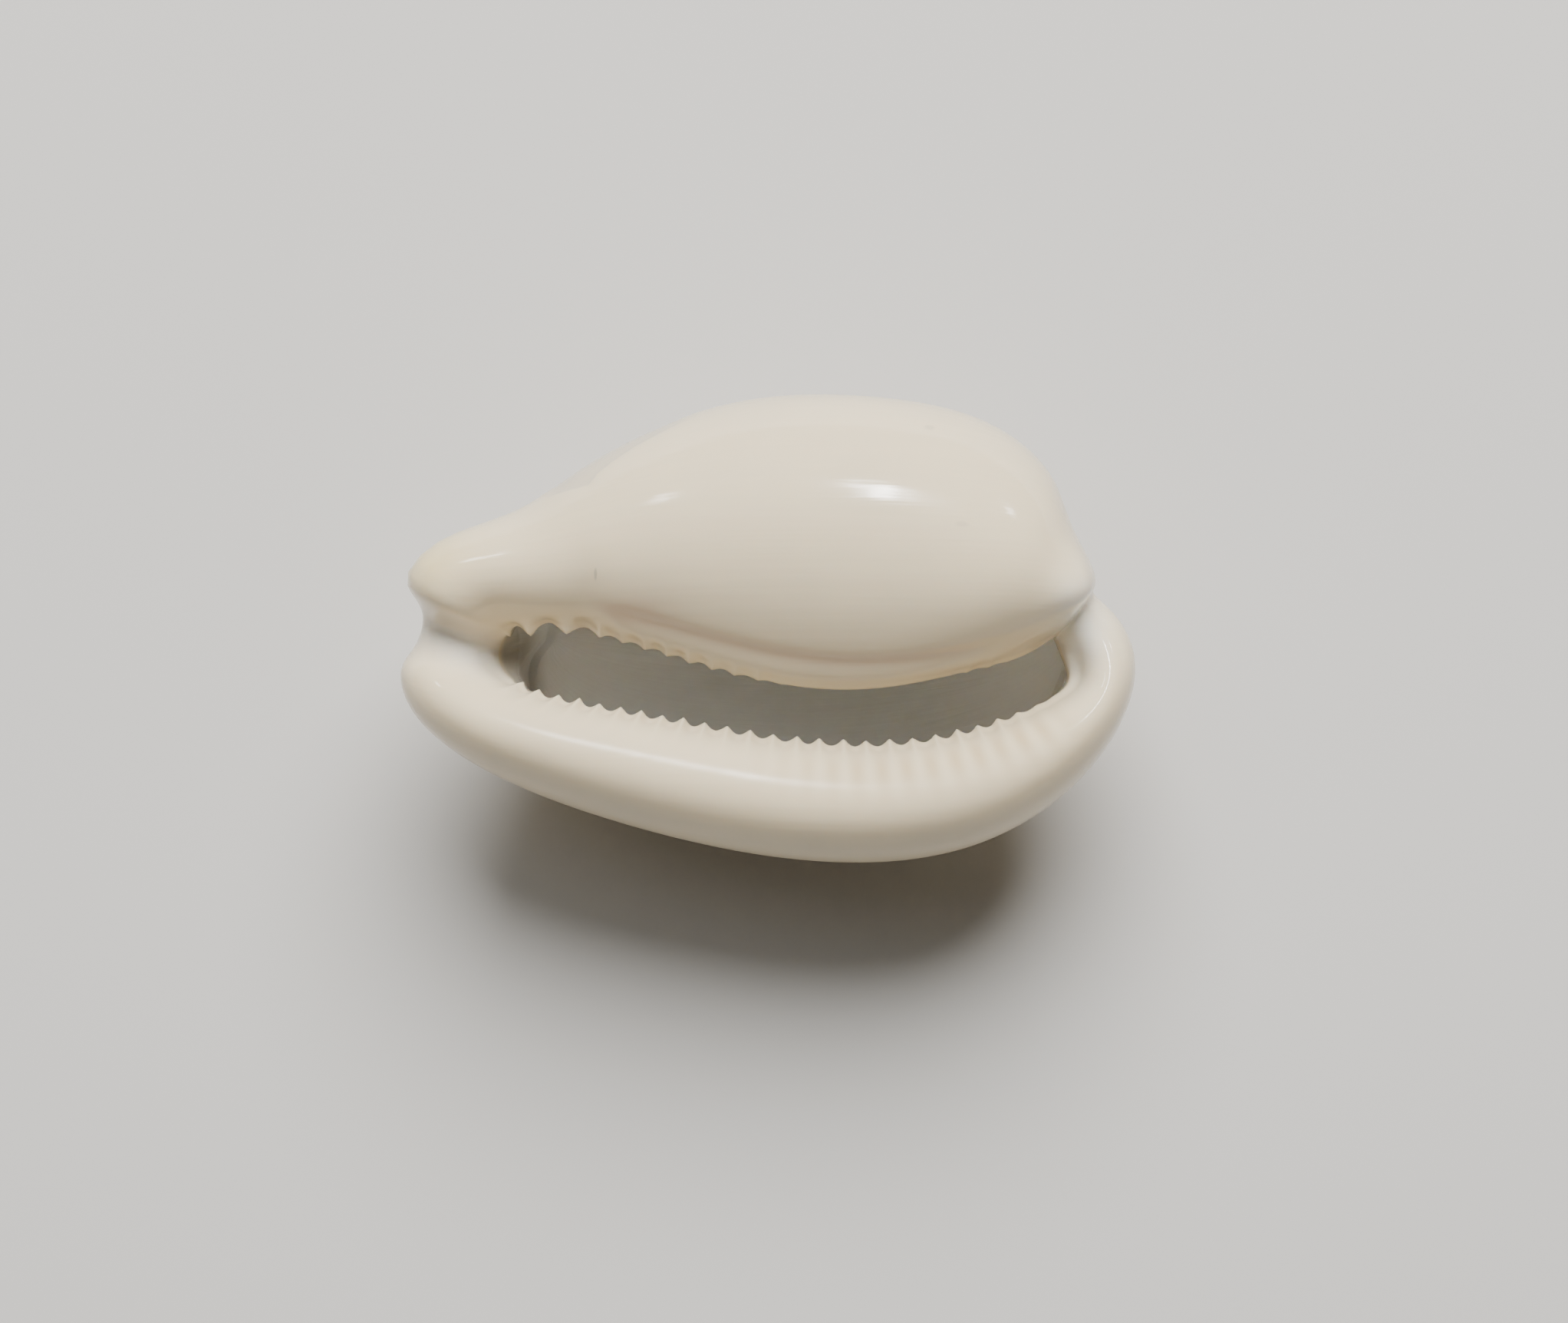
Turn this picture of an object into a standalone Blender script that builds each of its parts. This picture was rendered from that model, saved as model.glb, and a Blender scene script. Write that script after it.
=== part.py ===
"""A cowrie shell lying on its back with the mouth turned up and to the front.

The shell is one solid. Its surface is a fan of meridians round the mouth. Each meridian
starts at the flat spot under the back, climbs the dome to the margin, arches over the
lip to the rim of the mouth, drops down the throat and ends at the roof of the hollow.

Shell axes, in millimetres: x runs along the shell towards the back end, v across it
towards the body whorl, and w out of the mouth. World axes: the shell is rolled about x
by TILT, so w leans towards -Y and v leans up. +Z is up and the shell rests on Z = 0.
"""

import math
from collections import namedtuple

import bmesh
import bpy
import numpy as np

MM = 0.001

# Driving dimensions
TILT = math.radians(15.0)           # how far the mouth is rolled to the front
SHELL_POLE = (2.0, -1.0, -31.5)     # lowest point of the rounded back, in shell axes
FLAT_DEPTH = 0.5                    # how much the flat spot takes off the rounded back
EDGE_POWER = 8                      # how late the back turns up into the margin
CALMING = 6                         # how often the margin is averaged for the dome's form
NOTCH_POWER = 6                     # how near the margin the notches and beaks keep
EDGE_DROP = 1.3                     # how far an edge of the mouth drops for its width
EDGE_LEAN = 0.25                    # how far a wide edge leans inwards
NARROW_EDGE = 0.7                   # width of an edge that goes straight down
THROAT_DROP = 3.0                   # how far the lip's inside runs straight in
CAVITY_CENTRE = (3.0, 5.0, -12.0)   # middle of the hollow, at its widest level
ROOF_WALL = 3.0                     # wall under the flat spot
BOX_CENTRE = (0.13, 6.68)           # middle of the shell's world box, from the x and v zero

# One station is one place round the mouth. margin is a point on the outline seen from
# the mouth side and rim the nearest point on the edge of the mouth. swell is how high
# the lip arches over the line between them, turn how far round the arch goes before the
# edge, plate how thick the edge is below the margin, taper how the back runs out to it,
# from 0.5 for a round side to 1 for a slope, hollow how far out the cavity comes, and edge
# how widely the edge is rounded.
Station = namedtuple("Station", "margin rim swell turn plate taper hollow edge", defaults=[0.7])
STATIONS = [
    # front notch and the outer lip's end of the front beak
    Station((-42.3, 6.5, -5.8), (-33.2, 3.1, -6.0), 2.0, 135, 5.5, 0.80, 0.66, 2.8),
    Station((-43.3, 3.1, -3.9), (-33.0, 1.2, -4.3), 3.6, 135, 5.5, 0.80, 0.66, 2.6),
    Station((-45.7, 0.9, -2.0), (-32.0, 0.0, -2.0), 5.4, 145, 5.8, 0.79, 0.67, 1.6),
    # outer lip, front to back
    Station((-44.0, -5.0, -0.8), (-30.0, -1.7, 0.8), 6.3, 145, 6.0, 0.76, 0.70),
    Station((-37.6, -10.3, -0.2), (-26.0, -2.9, 2.2), 6.8, 145, 6.5, 0.70, 0.74),
    Station((-29.9, -14.1, 0.0), (-20.6, -4.0, 2.8), 7.0, 145, 7.0, 0.62, 0.78),
    Station((-21.4, -17.2, 0.0), (-14.5, -5.1, 3.0), 7.0, 145, 7.0, 0.55, 0.80),
    Station((-12.4, -19.8, 0.0), (-8.0, -6.3, 3.0), 7.0, 145, 7.0, 0.50, 0.80),
    Station((-3.0, -21.9, 0.0), (-1.0, -7.6, 3.0), 7.0, 145, 7.0, 0.50, 0.79),
    Station((6.6, -23.1, 0.0), (6.4, -8.5, 3.0), 7.2, 145, 7.0, 0.50, 0.77),
    Station((16.1, -23.1, 0.0), (14.0, -8.7, 3.0), 7.4, 145, 7.0, 0.50, 0.76),
    Station((25.2, -21.4, 0.0), (21.2, -7.9, 3.0), 7.4, 145, 7.0, 0.50, 0.76),
    Station((33.4, -17.4, -0.2), (27.8, -6.1, 2.8), 7.3, 145, 7.0, 0.51, 0.77),
    Station((39.9, -11.8, -0.8), (33.3, -3.8, 2.2), 7.0, 145, 7.0, 0.54, 0.79),
    Station((44.2, -5.2, -1.8), (37.0, -1.5, 0.8), 6.2, 140, 7.0, 0.57, 0.80, 1.0),
    # the lobe of the outer lip that wraps round the back end, and the back notch
    Station((45.9, 1.4, -3.4), (37.1, 0.3, -1.0), 5.4, 135, 7.0, 0.60, 0.82, 1.8),
    Station((43.9, 6.6, -4.8), (36.1, 2.7, -1.6), 4.4, 125, 6.5, 0.61, 0.82, 2.2),
    Station((40.8, 9.4, -5.8), (35.8, 4.0, -1.8), 3.4, 115, 6.0, 0.61, 0.82, 2.0),
    Station((40.0, 10.2, -6.0), (35.5, 4.5, -1.4), 3.4, 115, 6.0, 0.61, 0.82, 1.8),
    # knob of the body whorl, then its side of the mouth, back to front
    Station((40.4, 10.9, -4.0), (35.3, 4.6, 0.4), 7.2, 115, 6.5, 0.60, 0.83, 1.4),
    Station((40.3, 12.6, -2.8), (34.6, 4.2, 1.6), 8.4, 118, 6.7, 0.59, 0.83, 1.2),
    Station((39.0, 15.2, -2.6), (32.8, 3.0, 3.0), 9.2, 122, 7.0, 0.57, 0.84, 1.0),
    Station((37.0, 19.0, -3.8), (29.6, 1.5, 4.6), 10.4, 130, 7.0, 0.53, 0.85),
    Station((35.8, 24.0, -5.2), (24.8, 0.5, 5.6), 12.2, 135, 7.0, 0.50, 0.86),
    Station((31.7, 28.8, -6.4), (19.4, -0.8, 6.0), 13.0, 135, 7.0, 0.50, 0.86),
    Station((25.2, 32.4, -7.0), (13.4, -1.8, 6.0), 13.3, 135, 7.0, 0.50, 0.86),
    Station((17.0, 34.1, -7.0), (7.4, -1.9, 6.0), 13.4, 135, 7.0, 0.50, 0.86),
    Station((7.8, 34.8, -7.0), (1.4, -1.2, 6.0), 13.3, 135, 7.0, 0.50, 0.86),
    Station((-1.6, 34.4, -7.0), (-4.6, 0.2, 6.0), 13.0, 135, 7.0, 0.50, 0.86),
    Station((-10.6, 32.0, -6.6), (-10.6, 2.0, 5.8), 12.2, 135, 7.0, 0.50, 0.86),
    Station((-18.8, 28.3, -6.0), (-16.6, 3.8, 5.2), 10.8, 135, 7.0, 0.54, 0.84),
    Station((-25.4, 24.1, -5.0), (-22.0, 5.2, 4.2), 9.0, 140, 7.0, 0.60, 0.80),
    # front beak of the body whorl
    Station((-29.6, 20.4, -4.0), (-26.8, 5.7, 3.0), 7.6, 140, 6.5, 0.68, 0.75),
    Station((-36.8, 18.1, -3.0), (-30.0, 5.4, 1.4), 6.8, 140, 6.0, 0.75, 0.70),
    Station((-41.5, 16.1, -2.4), (-31.0, 5.3, 0.0), 6.4, 135, 5.8, 0.79, 0.67, 1.0),
    Station((-45.4, 11.8, -2.2), (-31.6, 5.1, -0.6), 6.2, 130, 5.6, 0.80, 0.66, 1.0),
    Station((-42.6, 8.8, -3.0), (-32.2, 4.7, -1.6), 5.4, 125, 5.5, 0.80, 0.66, 1.4),
]

# Teeth. A run goes from one station to another, in station steps round the mouth. across
# is how far the ribs run on to the lip's face, inside how far they run down into the mouth,
# and level the share of a tooth's height that is sunk below the smooth rim.
Teeth = namedtuple("Teeth", "start end count across inside level")
OUTER_TEETH = Teeth(start=2.15, end=14.3, count=27, across=6.5, inside=3.0, level=0.25)
BODY_TEETH = Teeth(start=21.2, end=35.3, count=22, across=3.0, inside=3.0, level=0.4)
TOOTH_TIP = 0.12                    # how much a tooth's tip is rounded, as a share of it

OUTER_HEIGHT = 0.9                  # height of the outer lip's teeth
FRONT_FADE = 1.0                    # how many teeth at the front end of its row are lower
BACK_FADE = 6.0                     # how many at its back end
RIB_SHARE = 0.3                     # share of their height that runs on as ribs
RIB_START = 2.0                     # how far from the rim the ribs start to fade
CREST_WIDTH = 3.0                   # how far from the rim the rest of the tooth ends

# Heights along x, with the stretches over which they grow from nothing at the first number
# to the whole at the second. Those of the wide teeth are shares of a tooth's width.
Stretch = namedtuple("Stretch", "height back front")
FINE_TEETH = Stretch(height=0.55, back=(6.0, -8.0), front=None)
BIG_TEETH = Stretch(height=1.45, back=(-18.0, -27.5), front=(-34.0, -29.0))
FAINT_TEETH = Stretch(height=0.25, back=(30.0, 27.5), front=(22.0, 25.0))
WIDE_TEETH = Stretch(height=0.7, back=(-19.5, -23.0), front=(-32.0, -30.0))
WIDE_OUTER = Stretch(height=0.1, back=(24.0, 20.0), front=(-11.0, -5.0))
BEAD_ROW = Stretch(height=1.0, back=(30.0, 24.0), front=(-21.0, -15.0))

# Across the body whorl's lip: a height, its place from the rim and its width.
Ridge = namedtuple("Ridge", "height away width")
BEAD = Ridge(height=0.20, away=2.1, width=1.3)
CREASE = Ridge(height=-0.16, away=4.8, width=1.1)

SADDLE = Ridge(height=-0.5, away=-22.6, width=2.8)   # dip across its beak's base, by x
SADDLE_ENDS = (19.5, 9.0)           # v where the dip starts and where it is whole

COLUMNS_PER_TOOTH = 4
BACK_COLUMNS = 32
FRONT_COLUMNS = 48

# Rings of points round the mouth, on each stretch of the meridians. The first number is
# how far along the stretch the ring runs, and the second how many of the finest columns
# go to one of its own. Rings near the teeth are given in mm from the rim.
DOME_RINGS = [(0.0, 4), (0.13, 4), (0.26, 4), (0.38, 4), (0.50, 4), (0.61, 4), (0.71, 4)]
DOME_RINGS += [(0.80, 2), (0.88, 2), (0.94, 2)]
LIP_RINGS = [(0.0, 2), (0.11, 2), (0.22, 2), (0.34, 2), (0.46, 2), (0.59, 2), (0.72, 2), (0.86, 2)]
RIM_RINGS = [(6.6, 2), (4.8, 2), (3.4, 1), (2.1, 1), (0.9, 1), (0.0, 1)]
THROAT_RINGS = [(0.06, 1), (0.15, 1), (0.40, 2), (0.70, 2), (1.0, 2)]
ROOF_RINGS = [(0.22, 4), (0.44, 4), (0.66, 4), (0.86, 4)]

ENAMEL = (0.72, 0.66, 0.57, 1.0)    # glossy warm white
ROUGHNESS = 0.2

OUT = np.array([0.0, 0.0, 1.0])
UP = np.array([0.0, math.sin(TILT), math.cos(TILT)])
DENSE = 49


def spline(values, where):
    """Closed uniform cubic B-spline through the stations' values, at station steps."""
    values = np.asarray(values, float)
    where = np.asarray(where, float)
    step = np.floor(where).astype(int)
    part = where - step
    weights = (
        (1 - part) ** 3 / 6,
        (3 * part**3 - 6 * part**2 + 4) / 6,
        (-3 * part**3 + 3 * part**2 + 3 * part + 1) / 6,
        part**3 / 6,
    )
    shape = (-1,) + (1,) * (values.ndim - 1)
    near = (values[(step + k - 1) % len(values)] for k in range(4))
    return sum(w.reshape(shape) * v for w, v in zip(weights, near))


def field(name, where):
    """One column of the stations' table, at places round the mouth."""
    return spline([getattr(station, name) for station in STATIONS], where)


def calmed(values):
    """The stations' values with their notches and beaks averaged out."""
    values = np.asarray(values, float)
    for _ in range(CALMING):
        values = (np.roll(values, 1, axis=0) + 2 * values + np.roll(values, -1, axis=0)) / 4
    return values


def ramp(low, high, value):
    """Smooth rise from 0 at low to 1 at high, where low may be the larger."""
    part = np.clip((np.asarray(value, float) - low) / (high - low), 0.0, 1.0)
    return part * part * (3 - 2 * part)


def bezier(start, start_pull, end_pull, end):
    """Cubic curves, one a row."""
    part = np.linspace(0.0, 1.0, DENSE)[None, :, None]
    return (
        start[:, None] * (1 - part) ** 3
        + start_pull[:, None] * 3 * part * (1 - part) ** 2
        + end_pull[:, None] * 3 * part**2 * (1 - part)
        + end[:, None] * part**3
    )


def dome(where):
    """Outside of the back, from the flat spot to the margin."""
    calm = spline(calmed([station.margin for station in STATIONS]), where)[:, None]
    notch = field("margin", where)[:, None] - calm
    plate = field("plate", where)[:, None]
    taper = field("taper", where)[:, None]
    pole = np.array(SHELL_POLE)
    height = (calm - pole) @ UP / UP[2]
    centre = pole + OUT * height[..., None]
    hump = (height**3 - plate**3) ** (1 / 3)
    spread = np.sin(np.linspace(0.0, math.pi / 2, DENSE))[None]
    edge = plate * np.sqrt(np.clip(1 - spread**EDGE_POWER, 0.0, None))
    bulge = hump * np.clip(1 - spread**2, 0.0, None) ** taper
    depth = (edge**3 + bulge**3) ** (1 / 3)
    spread = spread[..., None]
    out_to = (calm - centre) * spread + notch * spread**NOTCH_POWER
    lines = centre + out_to - OUT * depth[..., None]
    for line in lines:
        rise = (line - pole) @ UP
        above = int(np.argmax(rise > FLAT_DEPTH))
        share = (FLAT_DEPTH - rise[above - 1]) / (rise[above] - rise[above - 1])
        line[:above] = line[above - 1] + share * (line[above] - line[above - 1])
    return lines


def unit(vectors):
    """Vectors of length 1 along the given ones."""
    return vectors / np.maximum(np.linalg.norm(vectors, axis=-1, keepdims=True), 1e-9)


def inwards(where):
    """Way from the rim of the mouth into the throat, straight down where the edge is narrow."""
    away = unit((field("margin", where) - field("rim", where)) * (1.0, 1.0, 0.0))
    return unit(-OUT - away * (field("edge", where)[:, None] - NARROW_EDGE) * EDGE_LEAN)


def lip(where):
    """Mouth side of the lip, from the margin over its crest and edge to the rim."""
    margin, rim = field("margin", where), field("rim", where)
    away = unit((margin - rim) * (1.0, 1.0, 0.0))
    inset = field("edge", where)[:, None]
    edge = rim + away * inset + OUT * inset * EDGE_DROP
    turn = np.radians(field("turn", where))[:, None]
    crest = 1 / (1 - np.cos(turn))
    rise = (edge - margin)[:, 2:]
    arch = (field("swell", where)[:, None] - (crest - 0.5) * rise) / (1 - crest * np.sin(turn))
    swing = turn * np.linspace(0.0, 1.0, DENSE)[None]
    over = ((1 - np.cos(swing)) * crest)[..., None]
    drop = OUT * (arch * np.sin(turn))[..., None]
    lift = OUT * (arch * np.sin(swing))[..., None]
    face = margin[:, None] + ((edge - margin)[:, None] - drop) * over + lift
    heading = unit(face[:, -1] - face[:, -2]) * inset
    rounding = bezier(edge, edge + heading, rim - inwards(where) * inset * EDGE_DROP / 2, rim)
    return np.concatenate([face, rounding[:, 1:]], axis=1)


def widest_line(where):
    """Line round the hollow at its widest level."""
    centre = np.array(CAVITY_CENTRE)
    away = (field("margin", where) - centre) * (1.0, 1.0, 0.0)
    return centre + away * field("hollow", where)[:, None]


def throat(where):
    """Inside of the lip, from the rim of the mouth to the widest level of the hollow."""
    rim, wide = field("rim", where), widest_line(where)
    span = np.linalg.norm(wide - rim, axis=1)[:, None]
    return bezier(rim, rim + inwards(where) * THROAT_DROP, wide + OUT * span / 3, wide)


def roof(where):
    """Inside of the back, from the widest level of the hollow to over the flat spot."""
    wide = widest_line(where)[:, None]
    top = roof_top()
    height = (wide - top) @ UP / UP[2]
    centre = top + OUT * height[..., None]
    swing = np.linspace(0.0, math.pi / 2, DENSE)[None, :, None]
    depth = np.sin(swing) ** (2 * field("taper", where)[:, None, None])
    return centre + (wide - centre) * np.cos(swing) + (top - centre) * depth


def roof_top():
    """Where the meridians end."""
    return np.array(SHELL_POLE) + UP * (FLAT_DEPTH + ROOF_WALL)


def lengths(lines):
    """How far along each line its points are."""
    steps = np.linalg.norm(np.diff(lines, axis=1), axis=2)
    return np.concatenate([np.zeros((len(lines), 1)), np.cumsum(steps, axis=1)], axis=1)


def picked(lines, along):
    """Points on each line at distances along it, one row of distances a line."""
    ways = lengths(lines)
    rows = [
        np.stack([np.interp(spots, way, line[:, axis]) for axis in range(3)], axis=1)
        for line, way, spots in zip(lines, ways, along)
    ]
    return np.array(rows)


def by_share(lines, rings):
    """Points on each line at the rings' shares of its length."""
    return picked(lines, lengths(lines)[:, -1:] * [share for share, stride in rings])


def places_between(start, end, count, line, width):
    """Station steps of columns, spaced along the margin or rim in proportion to width(x)."""
    fine = np.linspace(start, end, count * DENSE)
    points = field(line, fine)
    middle = (points[1:] + points[:-1]) / 2
    steps = np.linalg.norm(np.diff(points, axis=0), axis=1) / width(middle[:, 0])
    along = np.concatenate([[0.0], np.cumsum(steps)])
    return np.interp(np.arange(count) / count * along[-1], along, fine)


def along_row(stretch, x):
    """A row's height at places along the shell."""
    ends = [end for end in (stretch.back, stretch.front) if end]
    return stretch.height * math.prod(ramp(*end, x) for end in ends)


def even(x):
    """Columns of one width."""
    return np.ones_like(x)


def outer_teeth_width(x):
    """The outer lip's teeth, a little wider in the middle of the row."""
    return 1 + along_row(WIDE_OUTER, x)


def body_teeth_width(x):
    """The body whorl's teeth, of one width except for the wide ones at the front."""
    return 1 + along_row(WIDE_TEETH, x)


def columns():
    """Station steps of the finest columns, round the mouth."""
    outer, body = OUTER_TEETH, BODY_TEETH
    outer_columns = outer.count * COLUMNS_PER_TOOTH
    body_columns = body.count * COLUMNS_PER_TOOTH
    after = outer.start + len(STATIONS)
    return np.concatenate([
        places_between(outer.start, outer.end, outer_columns, "rim", outer_teeth_width),
        places_between(outer.end, body.start, BACK_COLUMNS, "margin", even),
        places_between(body.start, body.end, body_columns, "rim", body_teeth_width),
        places_between(body.end, after, FRONT_COLUMNS, "margin", even),
    ])


def tooth(phase):
    """Height of a row of teeth with sharp crests and wide round valleys, from 0 to 1."""
    return 1 - np.sqrt((np.sin(math.pi * phase) ** 2 + TOOTH_TIP**2) / (1 + TOOTH_TIP**2))


def outer_teeth(phase, away):
    """Height of the outer lip's teeth, where away is the distance from the rim."""
    last = OUTER_TEETH.count
    ends = ramp(0.0, FRONT_FADE, phase) * ramp(last, last - BACK_FADE, phase)
    rib = RIB_SHARE * ramp(OUTER_TEETH.across, RIB_START, away)
    crest = (1 - RIB_SHARE) * ramp(CREST_WIDTH, 0.0, away)
    inside = ramp(-OUTER_TEETH.inside, 0.0, away)
    return OUTER_HEIGHT * (tooth(phase) - OUTER_TEETH.level) * ends * (rib + crest) * inside


def body_teeth(x, phase, away):
    """Height of the body whorl's teeth, deep at the front and fading to the back."""
    height = sum(along_row(row, x) for row in (FINE_TEETH, BIG_TEETH, FAINT_TEETH))
    rib = ramp(BODY_TEETH.across, 0.0, away) * ramp(-BODY_TEETH.inside, 0.0, away)
    return height * (tooth(phase) - BODY_TEETH.level) * rib


def rounded(ridge, place):
    """Height of a rounded ridge at places across it."""
    return ridge.height * np.exp(-((place - ridge.away) / ridge.width) ** 2)


def bead(x, away):
    """Height of the low bead along the body whorl's lip, and of the crease behind it."""
    return along_row(BEAD_ROW, x) * (rounded(BEAD, away) + rounded(CREASE, away))


def saddle(grid, away):
    """Height of the dip across the body whorl's lip where its beak starts."""
    return rounded(SADDLE, grid[..., 0]) * ramp(*SADDLE_ENDS, grid[..., 1]) * ramp(-1.0, 1.0, away)


def relief(grid, rim, away):
    """How far the surface stands out from the smooth form, by the distance from the rim."""
    x = rim[:, :1]
    index = np.arange(len(rim))[:, None] / COLUMNS_PER_TOOTH
    body_start = OUTER_TEETH.count + BACK_COLUMNS / COLUMNS_PER_TOOTH
    on_outer = index < OUTER_TEETH.count
    on_body = (index >= body_start) & (index < body_start + BODY_TEETH.count)
    outer = outer_teeth(index, away)
    body = body_teeth(x, index - body_start, away) + bead(x, away) + saddle(grid, away)
    return np.where(on_outer, outer, 0.0) + np.where(on_body, body, 0.0)


def normals(grid):
    """Unit normals of a grid of columns by rings that closes round the columns."""
    round_mouth = np.roll(grid, -1, axis=0) - np.roll(grid, 1, axis=0)
    along = np.gradient(grid, axis=1)
    return unit(np.cross(round_mouth, along))


def surface():
    """The whole surface as a grid of columns by rings, and each ring's stride."""
    where = columns()
    lips = lip(where)
    length = lengths(lips)[:, -1:]
    far = length - RIM_RINGS[0][0]
    lip_spots = far * [share for share, stride in LIP_RINGS]
    rim_spots = length - [distance for distance, stride in RIM_RINGS]
    throats = throat(where)
    throat_spots = lengths(throats)[:, -1:] * [share for share, stride in THROAT_RINGS]
    grid = np.concatenate([
        by_share(dome(where), DOME_RINGS),
        picked(lips, np.concatenate([lip_spots, rim_spots], axis=1)),
        picked(throats, throat_spots),
        by_share(roof(where), ROOF_RINGS),
    ], axis=1)
    off_teeth = np.full((len(where), len(DOME_RINGS)), np.inf)
    away = np.concatenate([
        off_teeth,
        length - lip_spots,
        length - rim_spots,
        -throat_spots,
        np.full((len(where), len(ROOF_RINGS)), -np.inf),
    ], axis=1)
    grid += normals(grid) * relief(grid, field("rim", where), away)[..., None]
    rings = DOME_RINGS + LIP_RINGS + RIM_RINGS + THROAT_RINGS + ROOF_RINGS
    return grid, [stride for spot, stride in rings]


def to_world(points):
    """Turns points in shell axes and millimetres into world metres."""
    x, v, w = np.moveaxis(np.asarray(points), -1, 0)
    floor = np.array(SHELL_POLE) @ UP + FLAT_DEPTH
    y = v * math.cos(TILT) - w * math.sin(TILT)
    z = v * math.sin(TILT) + w * math.cos(TILT)
    return np.stack([x - BOX_CENTRE[0], y - BOX_CENTRE[1], z - floor], axis=-1) * MM


def bridge(mesh, lower, upper):
    """Triangles between two closed rings, which may have different numbers of points."""
    low, high = 0, 0
    while low < len(lower) or high < len(upper):
        behind = (low + 0.5) / len(lower) <= (high + 0.5) / len(upper)
        first, second = lower[low % len(lower)], upper[high % len(upper)]
        if behind:
            low += 1
            mesh.faces.new((first, lower[low % len(lower)], second))
        else:
            high += 1
            mesh.faces.new((first, upper[high % len(upper)], second))


def build_shell(collection):
    """Makes the shell's one closed mesh."""
    grid, strides = surface()
    mesh = bmesh.new()
    rings = [
        [mesh.verts.new(point) for point in to_world(grid[::stride, ring])]
        for ring, stride in enumerate(strides)
    ]
    mesh.faces.new(reversed(rings[0]))
    for lower, upper in zip(rings, rings[1:]):
        bridge(mesh, lower, upper)
    top = mesh.verts.new(to_world(roof_top()))
    for first, second in zip(rings[-1], rings[-1][1:] + rings[-1][:1]):
        mesh.faces.new((first, second, top))
    data = bpy.data.meshes.new("shell")
    mesh.to_mesh(data)
    mesh.free()
    data.shade_smooth()
    data.materials.append(enamel())
    shell = bpy.data.objects.new("shell", data)
    collection.objects.link(shell)
    return shell


def enamel():
    """Glossy natural porcelain of the whole shell."""
    material = bpy.data.materials.new("shell_enamel")
    material.use_nodes = True
    shader = material.node_tree.nodes["Principled BSDF"]
    shader.inputs["Base Color"].default_value = ENAMEL
    shader.inputs["Roughness"].default_value = ROUGHNESS
    shader.inputs["Metallic"].default_value = 0.0
    return material


def main():
    for old in list(bpy.data.objects):
        bpy.data.objects.remove(old, do_unlink=True)
    collection = bpy.data.collections.new("cowrie_shell")
    bpy.context.scene.collection.children.link(collection)
    build_shell(collection)


main()
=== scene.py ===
"""The looks of a glossy white cowrie shell that lies on its back with its mouth turned up.

Shell axes, in millimetres: x runs along the shell towards the back end, v across it towards
the body whorl, and w out of the mouth. The world is in metres: the shell is rolled about x
by the form's tilt, +Z is up, and the shell rests on Z = 0.
"""

import logging
import math
from dataclasses import dataclass, field, replace
from enum import Enum
from typing import Iterable, Sequence

import bpy
import numpy as np
from mathutils import Matrix, Vector


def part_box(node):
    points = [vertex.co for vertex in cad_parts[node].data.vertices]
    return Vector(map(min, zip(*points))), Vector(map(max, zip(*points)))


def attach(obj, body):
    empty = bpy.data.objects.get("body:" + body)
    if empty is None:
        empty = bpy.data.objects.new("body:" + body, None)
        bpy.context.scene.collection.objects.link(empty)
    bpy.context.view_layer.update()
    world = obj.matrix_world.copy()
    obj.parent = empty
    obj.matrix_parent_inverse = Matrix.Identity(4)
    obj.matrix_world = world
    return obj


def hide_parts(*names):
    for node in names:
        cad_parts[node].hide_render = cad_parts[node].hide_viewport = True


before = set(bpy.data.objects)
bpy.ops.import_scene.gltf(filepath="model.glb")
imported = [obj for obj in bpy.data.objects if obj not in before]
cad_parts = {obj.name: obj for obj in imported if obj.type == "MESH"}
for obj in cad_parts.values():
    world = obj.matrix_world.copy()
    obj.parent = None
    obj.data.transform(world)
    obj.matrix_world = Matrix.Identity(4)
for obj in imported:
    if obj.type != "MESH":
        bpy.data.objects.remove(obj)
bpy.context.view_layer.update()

MM = 0.001
LOG = logging.getLogger("cowrie_shell")
Colour = tuple[float, float, float]
Trace = tuple[tuple[float, float], ...]       # x and v of the points of a line on the shell
Array = np.ndarray
HALF = 0.5                                    # middle of a noise, a mask or a step
BARE_SHELL: Colour = (0.58, 0.53, 0.42)       # the shell under its enamel
PAINTED_RAMP_SHADE: Colour = (0.42, 0.39, 0.33)             # painted shade over the lit slope at the mouth's front end
SINK_RADIUS = (1.0, 0.8, 0.55)                # how far red, green and blue sink in, as shares


@dataclass(frozen=True)
class Station:
    """One place round the mouth.

    margin is a point on the outline seen from the mouth side and rim the nearest point on
    the edge of the mouth. swell is how high the lip arches over the line between them, turn
    how far round the arch goes before the edge, plate how thick the edge is below the
    margin, taper how the back runs out to it, from 0.5 for a round side to 1 for a slope,
    hollow how far out the cavity comes, and edge how widely the edge is rounded.
    """

    margin: tuple[float, float, float]
    rim: tuple[float, float, float]
    swell: float
    turn: float
    plate: float
    taper: float
    hollow: float
    edge: float = 0.7


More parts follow.
